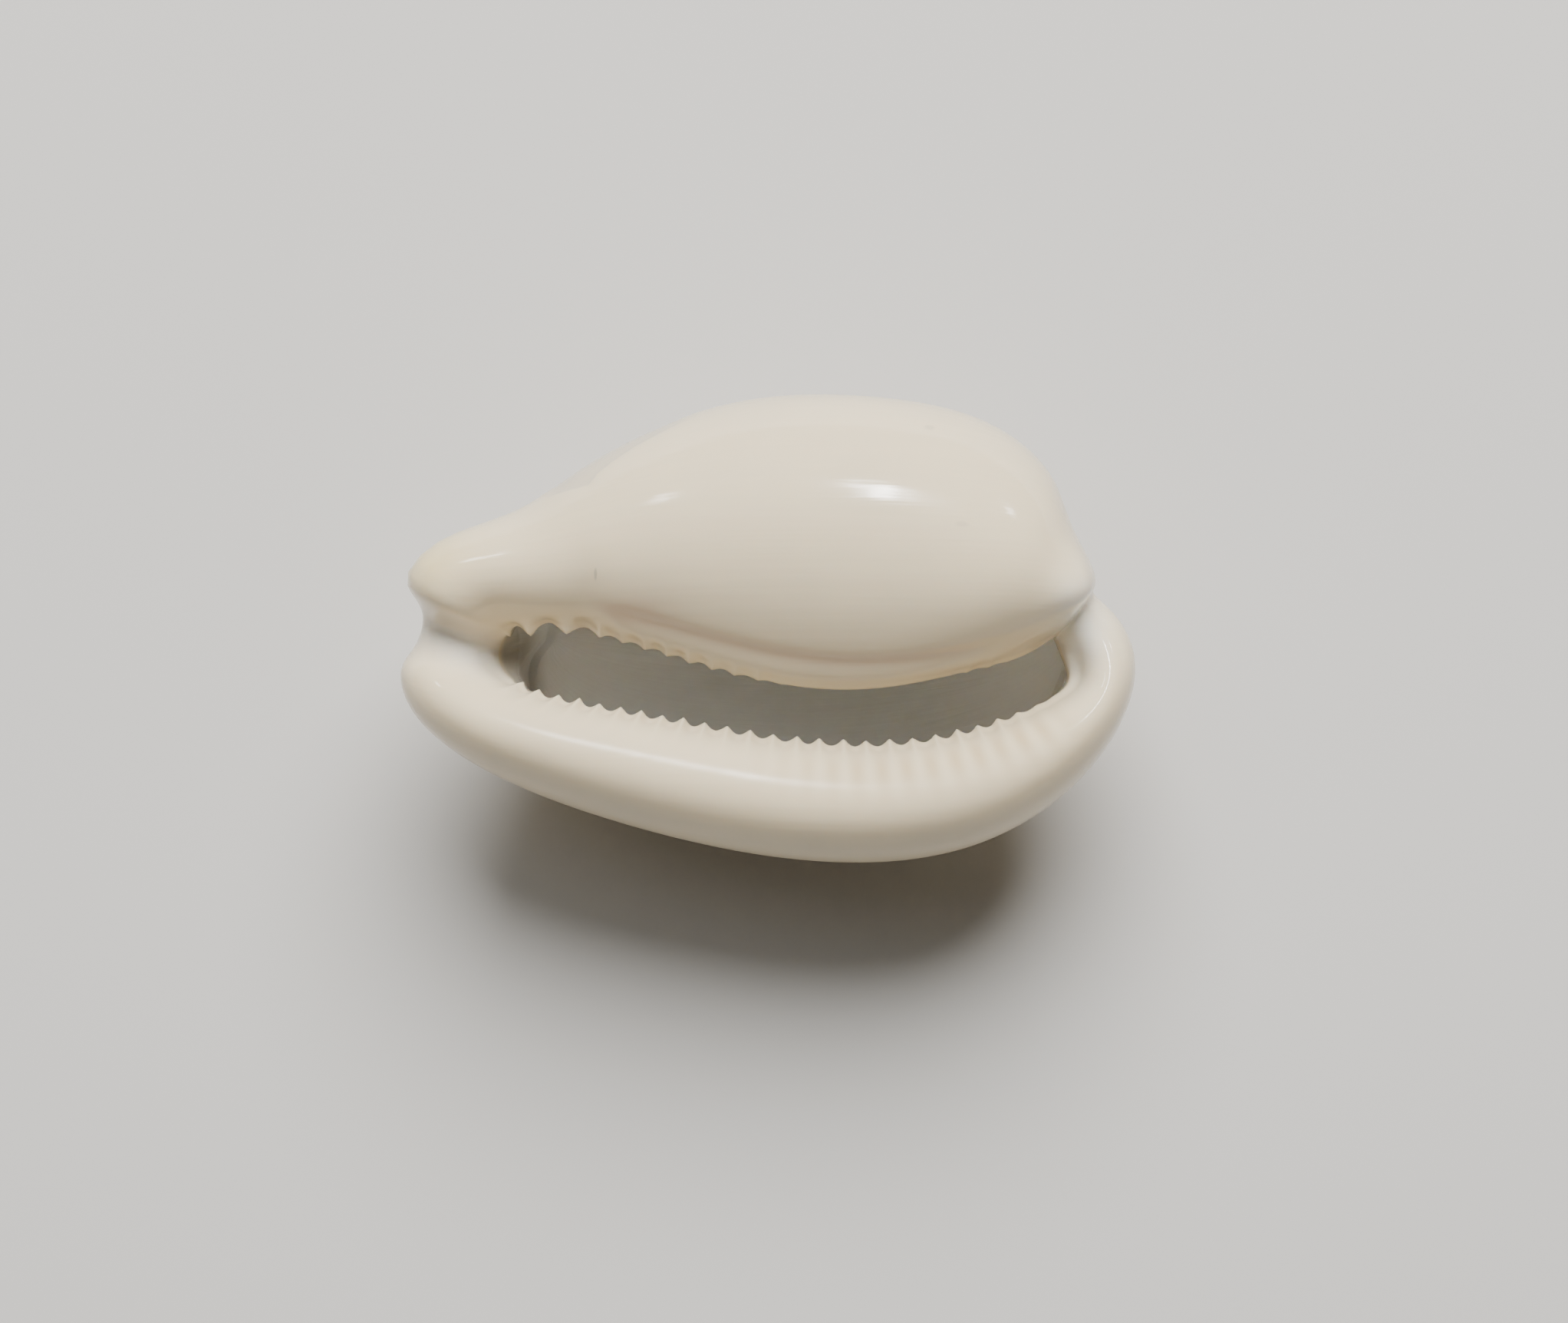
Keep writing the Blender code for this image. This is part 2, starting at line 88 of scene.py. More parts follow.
STATIONS = (
    # front notch and the outer lip's end of the front beak
    Station((-42.3, 6.5, -5.8), (-33.2, 3.1, -6.0), 2.0, 135, 5.5, 0.80, 0.66, 2.8),
    Station((-43.3, 3.1, -3.9), (-33.0, 1.2, -4.3), 3.6, 135, 5.5, 0.80, 0.66, 2.6),
    Station((-45.7, 0.9, -2.0), (-32.0, 0.0, -2.0), 5.4, 145, 5.8, 0.79, 0.67, 1.6),
    # outer lip, front to back
    Station((-44.0, -5.0, -0.8), (-30.0, -1.7, 0.8), 6.3, 145, 6.0, 0.76, 0.70),
    Station((-37.6, -10.3, -0.2), (-26.0, -2.9, 2.2), 6.8, 145, 6.5, 0.70, 0.74),
    Station((-29.9, -14.1, 0.0), (-20.6, -4.0, 2.8), 7.0, 145, 7.0, 0.62, 0.78),
    Station((-21.4, -17.2, 0.0), (-14.5, -5.1, 3.0), 7.0, 145, 7.0, 0.55, 0.80),
    Station((-12.4, -19.8, 0.0), (-8.0, -6.3, 3.0), 7.0, 145, 7.0, 0.50, 0.80),
    Station((-3.0, -21.9, 0.0), (-1.0, -7.6, 3.0), 7.0, 145, 7.0, 0.50, 0.79),
    Station((6.6, -23.1, 0.0), (6.4, -8.5, 3.0), 7.2, 145, 7.0, 0.50, 0.77),
    Station((16.1, -23.1, 0.0), (14.0, -8.7, 3.0), 7.4, 145, 7.0, 0.50, 0.76),
    Station((25.2, -21.4, 0.0), (21.2, -7.9, 3.0), 7.4, 145, 7.0, 0.50, 0.76),
    Station((33.4, -17.4, -0.2), (27.8, -6.1, 2.8), 7.3, 145, 7.0, 0.51, 0.77),
    Station((39.9, -11.8, -0.8), (33.3, -3.8, 2.2), 7.0, 145, 7.0, 0.54, 0.79),
    Station((44.2, -5.2, -1.8), (37.0, -1.5, 0.8), 6.2, 140, 7.0, 0.57, 0.80, 1.0),
    # the lobe of the outer lip that wraps round the back end, and the back notch
    Station((45.9, 1.4, -3.4), (37.1, 0.3, -1.0), 5.4, 135, 7.0, 0.60, 0.82, 1.8),
    Station((43.9, 6.6, -4.8), (36.1, 2.7, -1.6), 4.4, 125, 6.5, 0.61, 0.82, 2.2),
    Station((40.8, 9.4, -5.8), (35.8, 4.0, -1.8), 3.4, 115, 6.0, 0.61, 0.82, 2.0),
    Station((40.0, 10.2, -6.0), (35.5, 4.5, -1.4), 3.4, 115, 6.0, 0.61, 0.82, 1.8),
    # knob of the body whorl, then its side of the mouth, back to front
    Station((40.4, 10.9, -4.0), (35.3, 4.6, 0.4), 7.2, 115, 6.5, 0.60, 0.83, 1.4),
    Station((40.3, 12.6, -2.8), (34.6, 4.2, 1.6), 8.4, 118, 6.7, 0.59, 0.83, 1.2),
    Station((39.0, 15.2, -2.6), (32.8, 3.0, 3.0), 9.2, 122, 7.0, 0.57, 0.84, 1.0),
    Station((37.0, 19.0, -3.8), (29.6, 1.5, 4.6), 10.4, 130, 7.0, 0.53, 0.85),
    Station((35.8, 24.0, -5.2), (24.8, 0.5, 5.6), 12.2, 135, 7.0, 0.50, 0.86),
    Station((31.7, 28.8, -6.4), (19.4, -0.8, 6.0), 13.0, 135, 7.0, 0.50, 0.86),
    Station((25.2, 32.4, -7.0), (13.4, -1.8, 6.0), 13.3, 135, 7.0, 0.50, 0.86),
    Station((17.0, 34.1, -7.0), (7.4, -1.9, 6.0), 13.4, 135, 7.0, 0.50, 0.86),
    Station((7.8, 34.8, -7.0), (1.4, -1.2, 6.0), 13.3, 135, 7.0, 0.50, 0.86),
    Station((-1.6, 34.4, -7.0), (-4.6, 0.2, 6.0), 13.0, 135, 7.0, 0.50, 0.86),
    Station((-10.6, 32.0, -6.6), (-10.6, 2.0, 5.8), 12.2, 135, 7.0, 0.50, 0.86),
    Station((-18.8, 28.3, -6.0), (-16.6, 3.8, 5.2), 10.8, 135, 7.0, 0.54, 0.84),
    Station((-25.4, 24.1, -5.0), (-22.0, 5.2, 4.2), 9.0, 140, 7.0, 0.60, 0.80),
    # front beak of the body whorl
    Station((-29.6, 20.4, -4.0), (-26.8, 5.7, 3.0), 7.6, 140, 6.5, 0.68, 0.75),
    Station((-36.8, 18.1, -3.0), (-30.0, 5.4, 1.4), 6.8, 140, 6.0, 0.75, 0.70),
    Station((-41.5, 16.1, -2.4), (-31.0, 5.3, 0.0), 6.4, 135, 5.8, 0.79, 0.67, 1.0),
    Station((-45.4, 11.8, -2.2), (-31.6, 5.1, -0.6), 6.2, 130, 5.6, 0.80, 0.66, 1.0),
    Station((-42.6, 8.8, -3.0), (-32.2, 4.7, -1.6), 5.4, 125, 5.5, 0.80, 0.66, 1.4),
)


class Stretch(Enum):
    """The stretches of a meridian, in their order from the flat spot up and back down."""

    BACK = "back"
    LIP = "lip"
    RIM = "rim"
    THROAT = "throat"
    WALL = "wall"
    ROOF = "roof"


@dataclass(frozen=True)
class Rings:
    """Evenly spaced rings of points round the mouth, on one stretch of the meridians.

    start and end are shares of the stretch, or millimetres from the rim on the stretches
    RIM and THROAT. Every stride-th of the finest columns has a point on each ring.
    """

    stretch: Stretch
    start: float
    end: float
    count: int
    stride: int

    def places(self) -> Array:
        """Where the rings run on their stretch."""
        return np.linspace(self.start, self.end, self.count)


@dataclass(frozen=True)
class TeethRow:
    """A row of teeth along the rim.

    It goes from one station to another, in station steps round the mouth. across is how far
    the ribs run on to the lip's face, inside how far they run down into the mouth, and level
    the share of a tooth's height that is sunk below the smooth rim.
    """

    start: float
    end: float
    count: int
    across: float
    inside: float
    level: float


@dataclass(frozen=True)
class Swath:
    """A height along x that grows from nothing at each pair's first number to its second."""

    height: float
    back: tuple[float, float] | None = None
    front: tuple[float, float] | None = None

    def at(self, x: Array) -> Array:
        """The height at places along the shell."""
        ends = [end for end in (self.back, self.front) if end]
        return self.height * math.prod(smooth_step(*end, x) for end in ends)


@dataclass(frozen=True)
class Ridge:
    """A rounded ridge, or a groove where its height is negative."""

    height: float
    middle: float
    width: float

    def at(self, place: Array) -> Array:
        """The height at places across the ridge."""
        return self.height * np.exp(-(((place - self.middle) / self.width) ** 2))


@dataclass(frozen=True)
class Spot:
    """A soft spot, by its middle and by how far it reaches along the shell and across it."""

    height: float
    x: float
    v: float
    x_reach: float
    v_reach: float

    def at(self, x: Array, v: Array) -> Array:
        """The height at places on the shell."""
        far = ((x - self.x) / self.x_reach) ** 2 + ((v - self.v) / self.v_reach) ** 2
        return self.height * np.exp(-far)


def traced(trace: Trace, x: Array) -> Array:
    """The v of a line on the shell at places along it."""
    return np.interp(x, *zip(*trace))


def smooth_step(low: float, high: float, value: Array) -> Array:
    """Smooth rise from 0 to 1.

    Args:
        low: Where the rise starts. It may be larger than high.
        high: Where it is whole.
        value: The places to read it at.

    Returns:
        The rise at each place.
    """
    part = np.clip((np.asarray(value, float) - low) / (high - low), 0.0, 1.0)
    return part * part * (3 - 2 * part)


def spline(values: Sequence, where: Array) -> Array:
    """Closed uniform cubic B-spline through values at station steps.

    Args:
        values: One number or point for each station.
        where: Places round the mouth, in station steps.

    Returns:
        One number or point for each place.
    """
    values = np.asarray(values, float)
    step = np.floor(where).astype(int)
    part = where - step
    weights = (
        (1 - part) ** 3 / 6,
        (3 * part**3 - 6 * part**2 + 4) / 6,
        (-3 * part**3 + 3 * part**2 + 3 * part + 1) / 6,
        part**3 / 6,
    )
    shape = (-1,) + (1,) * (values.ndim - 1)
    near = (values[(step + k - 1) % len(values)] for k in range(len(weights)))
    return sum(weight.reshape(shape) * value for weight, value in zip(weights, near))


def unit(vectors: Array) -> Array:
    """Vectors of length 1 along the given ones."""
    return vectors / np.maximum(np.linalg.norm(vectors, axis=-1, keepdims=True), 1e-9)


def lengths(lines: Array) -> Array:
    """How far along each line its points are."""
    steps = np.linalg.norm(np.diff(lines, axis=1), axis=2)
    return np.concatenate([np.zeros((len(lines), 1)), np.cumsum(steps, axis=1)], axis=1)


def picked(lines: Array, along: Array) -> Array:
    """Points on lines.

    Args:
        lines: The lines, each a row of points.
        along: A row of distances for each line.

    Returns:
        A row of points for each line.
    """
    rows = [
        np.stack([np.interp(spots, way, line[:, axis]) for axis in range(3)], axis=1)
        for line, way, spots in zip(lines, lengths(lines), along)
    ]
    return np.array(rows)


@dataclass
class ShellForm:
    """The smooth form of the shell, a fan of meridians round its mouth.

    Each meridian starts at the flat spot under the back, climbs the dome to the margin,
    arches over the lip to the rim of the mouth, drops down the throat and ends at the roof
    of the hollow. Sizes are in millimetres and the tilt is in degrees.
    """

    tilt: float = 15.0                                        # roll of the mouth to the front
    pole: tuple[float, float, float] = (2.0, -1.0, -31.5)     # lowest point of the round back
    flat_depth: float = 0.5                                   # what the flat spot takes off
    edge_power: int = 8                                       # how late the back turns up
    calming: int = 6                                          # averaging of the dome's margin
    notch_power: int = 6                                      # how near the margin notches keep
    edge_drop: float = 1.3                                    # how far an edge drops for its width
    edge_lean: float = 0.25                                   # how far a wide edge leans inwards
    narrow_edge: float = 0.7                                  # an edge that goes straight down
    throat_drop: float = 3.0                                  # straight run of the lip's inside
    cavity_centre: tuple[float, float, float] = (3.0, 5.0, -12.0)
    roof_wall: float = 3.0                                    # wall under the flat spot
    box_centre: tuple[float, float] = (0.13, 6.68)            # world middle from x and v zero
    outer_teeth: TeethRow = TeethRow(2.15, 14.3, 27, 6.5, 3.0, 0.25)
    body_teeth: TeethRow = TeethRow(21.2, 35.3, 22, 3.0, 3.0, 0.40)
    wide_outer: Swath = Swath(0.10, back=(24.0, 20.0), front=(-11.0, -5.0))
    wide_teeth: Swath = Swath(0.70, back=(-19.5, -23.0), front=(-32.0, -30.0))
    columns_per_tooth: int = 12
    back_columns: int = 96
    front_columns: int = 144
    spacing_steps: int = 5                                    # steps a column when it is spaced
    dense: int = 193                                          # points on a meridian's curve
    rings: tuple[Rings, ...] = (
        Rings(Stretch.BACK, 0.0, 0.74, 36, 4),
        Rings(Stretch.BACK, 0.75, 0.985, 20, 2),
        Rings(Stretch.LIP, 0.0, 0.98, 30, 2),
        Rings(Stretch.RIM, 7.2, 0.0, 28, 1),
        Rings(Stretch.THROAT, 0.25, 3.4, 13, 1),
        Rings(Stretch.WALL, 0.06, 1.0, 14, 2),
        Rings(Stretch.ROOF, 0.06, 0.97, 18, 4),
    )
    where: Array = field(init=False)

    def __post_init__(self) -> None:
        """Spaces the columns round the mouth."""
        self.out = np.array([0.0, 0.0, 1.0])
        roll = math.radians(self.tilt)
        self.up = np.array([0.0, math.sin(roll), math.cos(roll)])
        self.where = self.columns()

    def stations(self, name: str, where: Array) -> Array:
        """One column of the stations' table, at places round the mouth."""
        return spline([getattr(station, name) for station in STATIONS], where)

    def spaced(
        self, start: float, end: float, count: int, line: str, swath: Swath | None = None
    ) -> Array:
        """Spaces columns along the margin or the rim.

        Args:
            start: Station step of the first column.
            end: Station step where the next run starts.
            count: How many columns there are.
            line: The line that they are spaced along, "margin" or "rim".
            swath: How much wider the columns are along x, or None for one width.

        Returns:
            The columns' station steps.
        """
        fine = np.linspace(start, end, count * self.spacing_steps)
        points = self.stations(line, fine)
        middle = (points[1:] + points[:-1]) / 2
        steps = np.linalg.norm(np.diff(points, axis=0), axis=1)
        if swath:
            steps = steps / (1 + swath.at(middle[:, 0]))
        along = np.concatenate([[0.0], np.cumsum(steps)])
        return np.interp(np.arange(count) / count * along[-1], along, fine)

    def columns(self) -> Array:
        """Station steps of the finest columns, round the mouth."""
        outer, body = self.outer_teeth, self.body_teeth
        outer_count = outer.count * self.columns_per_tooth
        body_count = body.count * self.columns_per_tooth
        after = outer.start + len(STATIONS)
        return np.concatenate([
            self.spaced(outer.start, outer.end, outer_count, "rim", self.wide_outer),
            self.spaced(outer.end, body.start, self.back_columns, "margin"),
            self.spaced(body.start, body.end, body_count, "rim", self.wide_teeth),
            self.spaced(body.end, after, self.front_columns, "margin"),
        ])

    def calmed(self, values: Sequence) -> Array:
        """Averages out the stations' notches and beaks.

        Args:
            values: One number or point for each station.

        Returns:
            The calmed values.
        """
        values = np.asarray(values, float)
        for _ in range(self.calming):
            values = (np.roll(values, 1, axis=0) + 2 * values + np.roll(values, -1, axis=0)) / 4
        return values

    def bezier(self, start: Array, start_pull: Array, end_pull: Array, end: Array) -> Array:
        """Cubic curves, one a row.

        Args:
            start: Where each curve starts.
            start_pull: Its first control point.
            end_pull: Its second control point.
            end: Where it ends.

        Returns:
            The curves' points.
        """
        part = np.linspace(0.0, 1.0, self.dense)[None, :, None]
        return (
            start[:, None] * (1 - part) ** 3
            + start_pull[:, None] * 3 * part * (1 - part) ** 2
            + end_pull[:, None] * 3 * part**2 * (1 - part)
            + end[:, None] * part**3
        )

    def back(self) -> Array:
        """Outside of the back, from the flat spot to the margin."""
        calm = spline(self.calmed([station.margin for station in STATIONS]), self.where)[:, None]
        notch = self.stations("margin", self.where)[:, None] - calm
        plate = self.stations("plate", self.where)[:, None]
        taper = self.stations("taper", self.where)[:, None]
        pole = np.array(self.pole)
        height = (calm - pole) @ self.up / self.up[2]
        centre = pole + self.out * height[..., None]
        hump = (height**3 - plate**3) ** (1 / 3)
        spread = np.sin(np.linspace(0.0, math.pi / 2, self.dense))[None]
        edge = plate * np.sqrt(np.clip(1 - spread**self.edge_power, 0.0, None))
        bulge = hump * np.clip(1 - spread**2, 0.0, None) ** taper
        depth = (edge**3 + bulge**3) ** (1 / 3)
        spread = spread[..., None]
        out_to = (calm - centre) * spread + notch * spread**self.notch_power
        lines = centre + out_to - self.out * depth[..., None]
        for line in lines:
            rise = (line - pole) @ self.up
            above = int(np.argmax(rise > self.flat_depth))
            share = (self.flat_depth - rise[above - 1]) / (rise[above] - rise[above - 1])
            line[:above] = line[above - 1] + share * (line[above] - line[above - 1])
        return lines

    def inwards(self) -> Array:
        """Way from the rim into the throat, straight down where the edge is narrow."""
        margin, rim = self.stations("margin", self.where), self.stations("rim", self.where)
        lean = (self.stations("edge", self.where)[:, None] - self.narrow_edge) * self.edge_lean
        return unit(-self.out - unit((margin - rim) * (1.0, 1.0, 0.0)) * lean)

    def lip(self) -> Array:
        """Mouth side of the lip, from the margin over its crest and edge to the rim."""
        margin, rim = self.stations("margin", self.where), self.stations("rim", self.where)
        away = unit((margin - rim) * (1.0, 1.0, 0.0))
        inset = self.stations("edge", self.where)[:, None]
        edge = rim + away * inset + self.out * inset * self.edge_drop
        turn = np.radians(self.stations("turn", self.where))[:, None]
        crest = 1 / (1 - np.cos(turn))
        rise = (edge - margin)[:, 2:]
        swell = self.stations("swell", self.where)[:, None]
        arch = (swell - (crest - 0.5) * rise) / (1 - crest * np.sin(turn))
        swing = turn * np.linspace(0.0, 1.0, self.dense)[None]
        over = ((1 - np.cos(swing)) * crest)[..., None]
        drop = self.out * (arch * np.sin(turn))[..., None]
        lift = self.out * (arch * np.sin(swing))[..., None]
        face = margin[:, None] + ((edge - margin)[:, None] - drop) * over + lift
        heading = unit(face[:, -1] - face[:, -2]) * inset
        pull = rim - self.inwards() * inset * self.edge_drop / 2
        rounding = self.bezier(edge, edge + heading, pull, rim)
        return np.concatenate([face, rounding[:, 1:]], axis=1)

    def widest_line(self) -> Array:
        """Line round the hollow at its widest level."""
        centre = np.array(self.cavity_centre)
        away = (self.stations("margin", self.where) - centre) * (1.0, 1.0, 0.0)
        return centre + away * self.stations("hollow", self.where)[:, None]

    def throat(self) -> Array:
        """Inside of the lip, from the rim of the mouth to the widest level of the hollow."""
        rim, wide = self.stations("rim", self.where), self.widest_line()
        span = np.linalg.norm(wide - rim, axis=1)[:, None]
        start_pull = rim + self.inwards() * self.throat_drop
        return self.bezier(rim, start_pull, wide + self.out * span / 3, wide)

    def roof(self) -> Array:
        """Inside of the back, from the widest level of the hollow to over the flat spot."""
        wide = self.widest_line()[:, None]
        top = self.roof_top()
        height = (wide - top) @ self.up / self.up[2]
        centre = top + self.out * height[..., None]
        swing = np.linspace(0.0, math.pi / 2, self.dense)[None, :, None]
        depth = np.sin(swing) ** (2 * self.stations("taper", self.where)[:, None, None])
        return centre + (wide - centre) * np.cos(swing) + (top - centre) * depth

    def roof_top(self) -> Array:
        """Where the meridians end."""
        return np.array(self.pole) + self.up * (self.flat_depth + self.roof_wall)

    def flat_middle(self) -> Array:
        """Middle of the flat spot."""
        return np.array(self.pole) + self.up * self.flat_depth

    def grid(self) -> tuple[Array, Array]:
        """The smooth surface.

        Returns:
            Its points as columns by rings, and how far each is from the rim along its
            meridian, positive on the lip's face and negative inside the mouth.
        """
        back, lip, throat, roof = self.back(), self.lip(), self.throat(), self.roof()
        back_end, lip_end, throat_end, roof_end = (
            lengths(lines)[:, -1:] for lines in (back, lip, throat, roof)
        )
        rim_run = next(rings.start for rings in self.rings if rings.stretch is Stretch.RIM)
        throat_run = next(rings.end for rings in self.rings if rings.stretch is Stretch.THROAT)
        points, away = [], []
        for rings in self.rings:
            part = rings.places()[None]
            lines, start, along = {
                Stretch.BACK: (back, lip_end + back_end, back_end * part),
                Stretch.LIP: (lip, lip_end, (lip_end - rim_run) * part),
                Stretch.RIM: (lip, lip_end, lip_end - part),
                Stretch.THROAT: (throat, 0.0, part + 0 * throat_end),
                Stretch.WALL: (throat, 0.0, throat_run + (throat_end - throat_run) * part),
                Stretch.ROOF: (roof, -throat_end, roof_end * part),
            }[rings.stretch]
            points.append(picked(lines, along))
            away.append(start - along)
        return np.concatenate(points, axis=1), np.concatenate(away, axis=1)

    def strides(self) -> list[int]:
        """Each ring's stride."""
        return [rings.stride for rings in self.rings for _ in range(rings.count)]

    def to_world(self, points: Array) -> Array:
        """Turns shell axes into the world's.

        Args:
            points: Points in shell axes, in millimetres.

        Returns:
            The same points in the world, in metres.
        """
        x, v, w = np.moveaxis(np.asarray(points, float), -1, 0)
        roll = math.radians(self.tilt)
        floor = np.array(self.pole) @ self.up + self.flat_depth
        y = v * math.cos(roll) - w * math.sin(roll)
        z = v * math.sin(roll) + w * math.cos(roll)
        return np.stack([x - self.box_centre[0], y - self.box_centre[1], z - floor], axis=-1) * MM

    def to_shell(self, points: Array) -> Array:
        """Turns the world's axes into the shell's.

        Args:
            points: Points in the world, in metres.

        Returns:
            The same points in shell axes, in millimetres.
        """
        x, y, z = np.moveaxis(np.asarray(points, float) / MM, -1, 0)
        roll = math.radians(self.tilt)
        y = y + self.box_centre[1]
        z = z + np.array(self.pole) @ self.up + self.flat_depth
        v = y * math.cos(roll) + z * math.sin(roll)
        w = z * math.cos(roll) - y * math.sin(roll)
        return np.stack([x + self.box_centre[0], v, w], axis=-1)


@dataclass
class ShellRelief:
    """What stands out from the smooth form. Sizes are in millimetres."""

    form: ShellForm
    outer_height: float = 0.9                         # of the outer lip's teeth
    outer_fade: tuple[float, float] = (1.0, 6.0)      # how many are lower at each of its ends
    rib_share: float = 0.3                            # share of the height that runs on as ribs
    rib_start: float = 2.0                            # where the ribs start to fade
    crest_width: float = 3.0                          # where the rest of the tooth ends
    body_rows: tuple[Swath, ...] = (
        Swath(0.55, back=(6.0, -8.0)),
        Swath(1.45, back=(-18.0, -27.5), front=(-34.0, -29.0)),
        Swath(0.25, back=(30.0, 27.5), front=(22.0, 25.0)),
    )
    bead_row: Swath = Swath(1.0, back=(30.0, 24.0), front=(-21.0, -15.0))
    bead: Ridge = Ridge(0.20, 2.1, 1.3)
    crease: Ridge = Ridge(-0.16, 4.8, 1.1)
    callus_edge: Trace = (
        (-27.7, 21.6), (-24.9, 22.4), (-21.7, 23.2), (-20.9, 24.5),
        (-19.1, 26.0), (-16.4, 27.9), (-13.0, 29.8), (-8.0, 32.2),
    )
    callus_ends: Swath = Swath(1.0, back=(-8.0, -14.0), front=(-28.2, -25.5))
    callus_start: tuple[float, float] = (1.0, 4.0)    # x and v before the edge's first point
    callus_back: float = 1.0                          # least distance that the back is given
    callus_most: float = 2.0                          # largest distance that is given
    callus_step: float = 0.22                         # how far the layer stands up
    step_width: float = 0.3                           # half the width of its edge
    step_fade: tuple[float, float] = (26.0, 20.0)     # past the margin, where the step fades
    saddle: Ridge = Ridge(-0.5, -22.6, 2.8)           # dip where the body whorl's beak starts
    saddle_ends: tuple[float, float] = (19.5, 9.0)    # v where the dip starts and is whole
    saddle_rim: tuple[float, float] = (-1.0, 1.0)     # from the rim, where it does so

    def rows(self) -> tuple[Array, Array, Array]:
        """Which columns have teeth.

        Returns:
            A number along the mouth for each column that counts teeth, and masks of the
            outer lip's columns and of the body whorl's.
        """
        form = self.form
        number = np.arange(len(form.where))[:, None] / form.columns_per_tooth
        body_start = form.outer_teeth.count + form.back_columns / form.columns_per_tooth
        body_end = body_start + form.body_teeth.count
        on_outer = number < form.outer_teeth.count
        on_body = (number >= body_start) & (number < body_end)
        return number, on_outer, on_body

    def teeth(self, away: Array) -> dict[str, Array]:
        """The teeth's phase, height and level at each point of the grid.

        Args:
            away: How far each point is from the rim.

        Returns:
            The attributes tooth_phase, tooth_gain and tooth_level.
        """
        outer, body = self.form.outer_teeth, self.form.body_teeth
        number, on_outer, on_body = self.rows()
        x = self.form.stations("rim", self.form.where)[:, :1]
        front_fade, back_fade = self.outer_fade
        ends = smooth_step(0.0, front_fade, number)
        ends = ends * smooth_step(outer.count, outer.count - back_fade, number)
        rib = self.rib_share * smooth_step(outer.across, self.rib_start, away)
        crest = (1 - self.rib_share) * smooth_step(self.crest_width, 0.0, away)
        outer_gain = self.outer_height * ends * (rib + crest)
        outer_gain = outer_gain * smooth_step(-outer.inside, 0.0, away)
        height = sum(row.at(x) for row in self.body_rows)
        body_gain = height * smooth_step(body.across, 0.0, away)
        body_gain = body_gain * smooth_step(-body.inside, 0.0, away)
        level = np.where(on_outer, outer.level, body.level) + 0 * away
        gain = np.where(on_outer, outer_gain, 0.0) + np.where(on_body, body_gain, 0.0)
        return {
            "tooth_phase": number + 0 * away,
            "tooth_gain": gain,
            "tooth_level": level,
        }

    def callus(self, points: Array, away: Array) -> Array:
        """How far each point is outside the edge of the layer over the mouth side.

        Args:
            points: The grid's points.
            away: How far each is from the rim.

        Returns:
            The distance across the edge, in millimetres, negative where there is no edge.
        """
        x, v, _ = np.moveaxis(points, -1, 0)
        edge_x, edge_v = np.array(self.callus_edge).T
        rise = np.gradient(edge_v, edge_x)
        slope = np.interp(x, edge_x, rise)
        out = (v - np.interp(x, edge_x, edge_v)) / np.sqrt(1 + slope**2)
        back_rings = sum(r.count for r in self.form.rings if r.stretch is Stretch.BACK)
        out[:, :back_rings] = np.maximum(out[:, :back_rings], self.callus_back)
        start_x, start_v = edge_x[0] - self.callus_start[0], edge_v[0] - self.callus_start[1]
        near = (x > start_x) & (x < edge_x[-1]) & (v > start_v) & (away > 0)
        most = self.callus_most
        return np.where(near, np.clip(out, -most, most), -most)

    def bare(self, points: Array, away: Array, fade: tuple[float, float]) -> Array:
        """How much the bare shell shows beyond the edge of the layer, fading round the back.

        Args:
            points: The grid's points.
            away: How far each is from the rim.
            fade: How far past the margin the bare shell has faded, and is whole.

        Returns:
            The share of it at each point.
        """
        past_margin = away - lengths(self.form.lip())[:, -1:]
        return self.callus_ends.at(points[..., 0]) * smooth_step(*fade, past_margin)

    def carved(self, points: Array, away: Array) -> Array:
        """Raises the bead, sinks the crease and the saddle, and steps the callus.

        Args:
            points: The grid's points.
            away: How far each is from the rim.

        Returns:
            The grid with those on it.
        """
        _, _, on_body = self.rows()
        x = self.form.stations("rim", self.form.where)[:, :1]
        height = self.bead_row.at(x) * (self.bead.at(away) + self.crease.at(away)) * on_body
        step = smooth_step(-self.step_width, self.step_width, self.callus(points, away))
        height = height - self.callus_step * step * self.bare(points, away, self.step_fade)
        dip = self.saddle.at(points[..., 0]) * smooth_step(*self.saddle_ends, points[..., 1])
        height = height + dip * on_body * smooth_step(*self.saddle_rim, away)
        return points + grid_normals(points) * height[..., None]


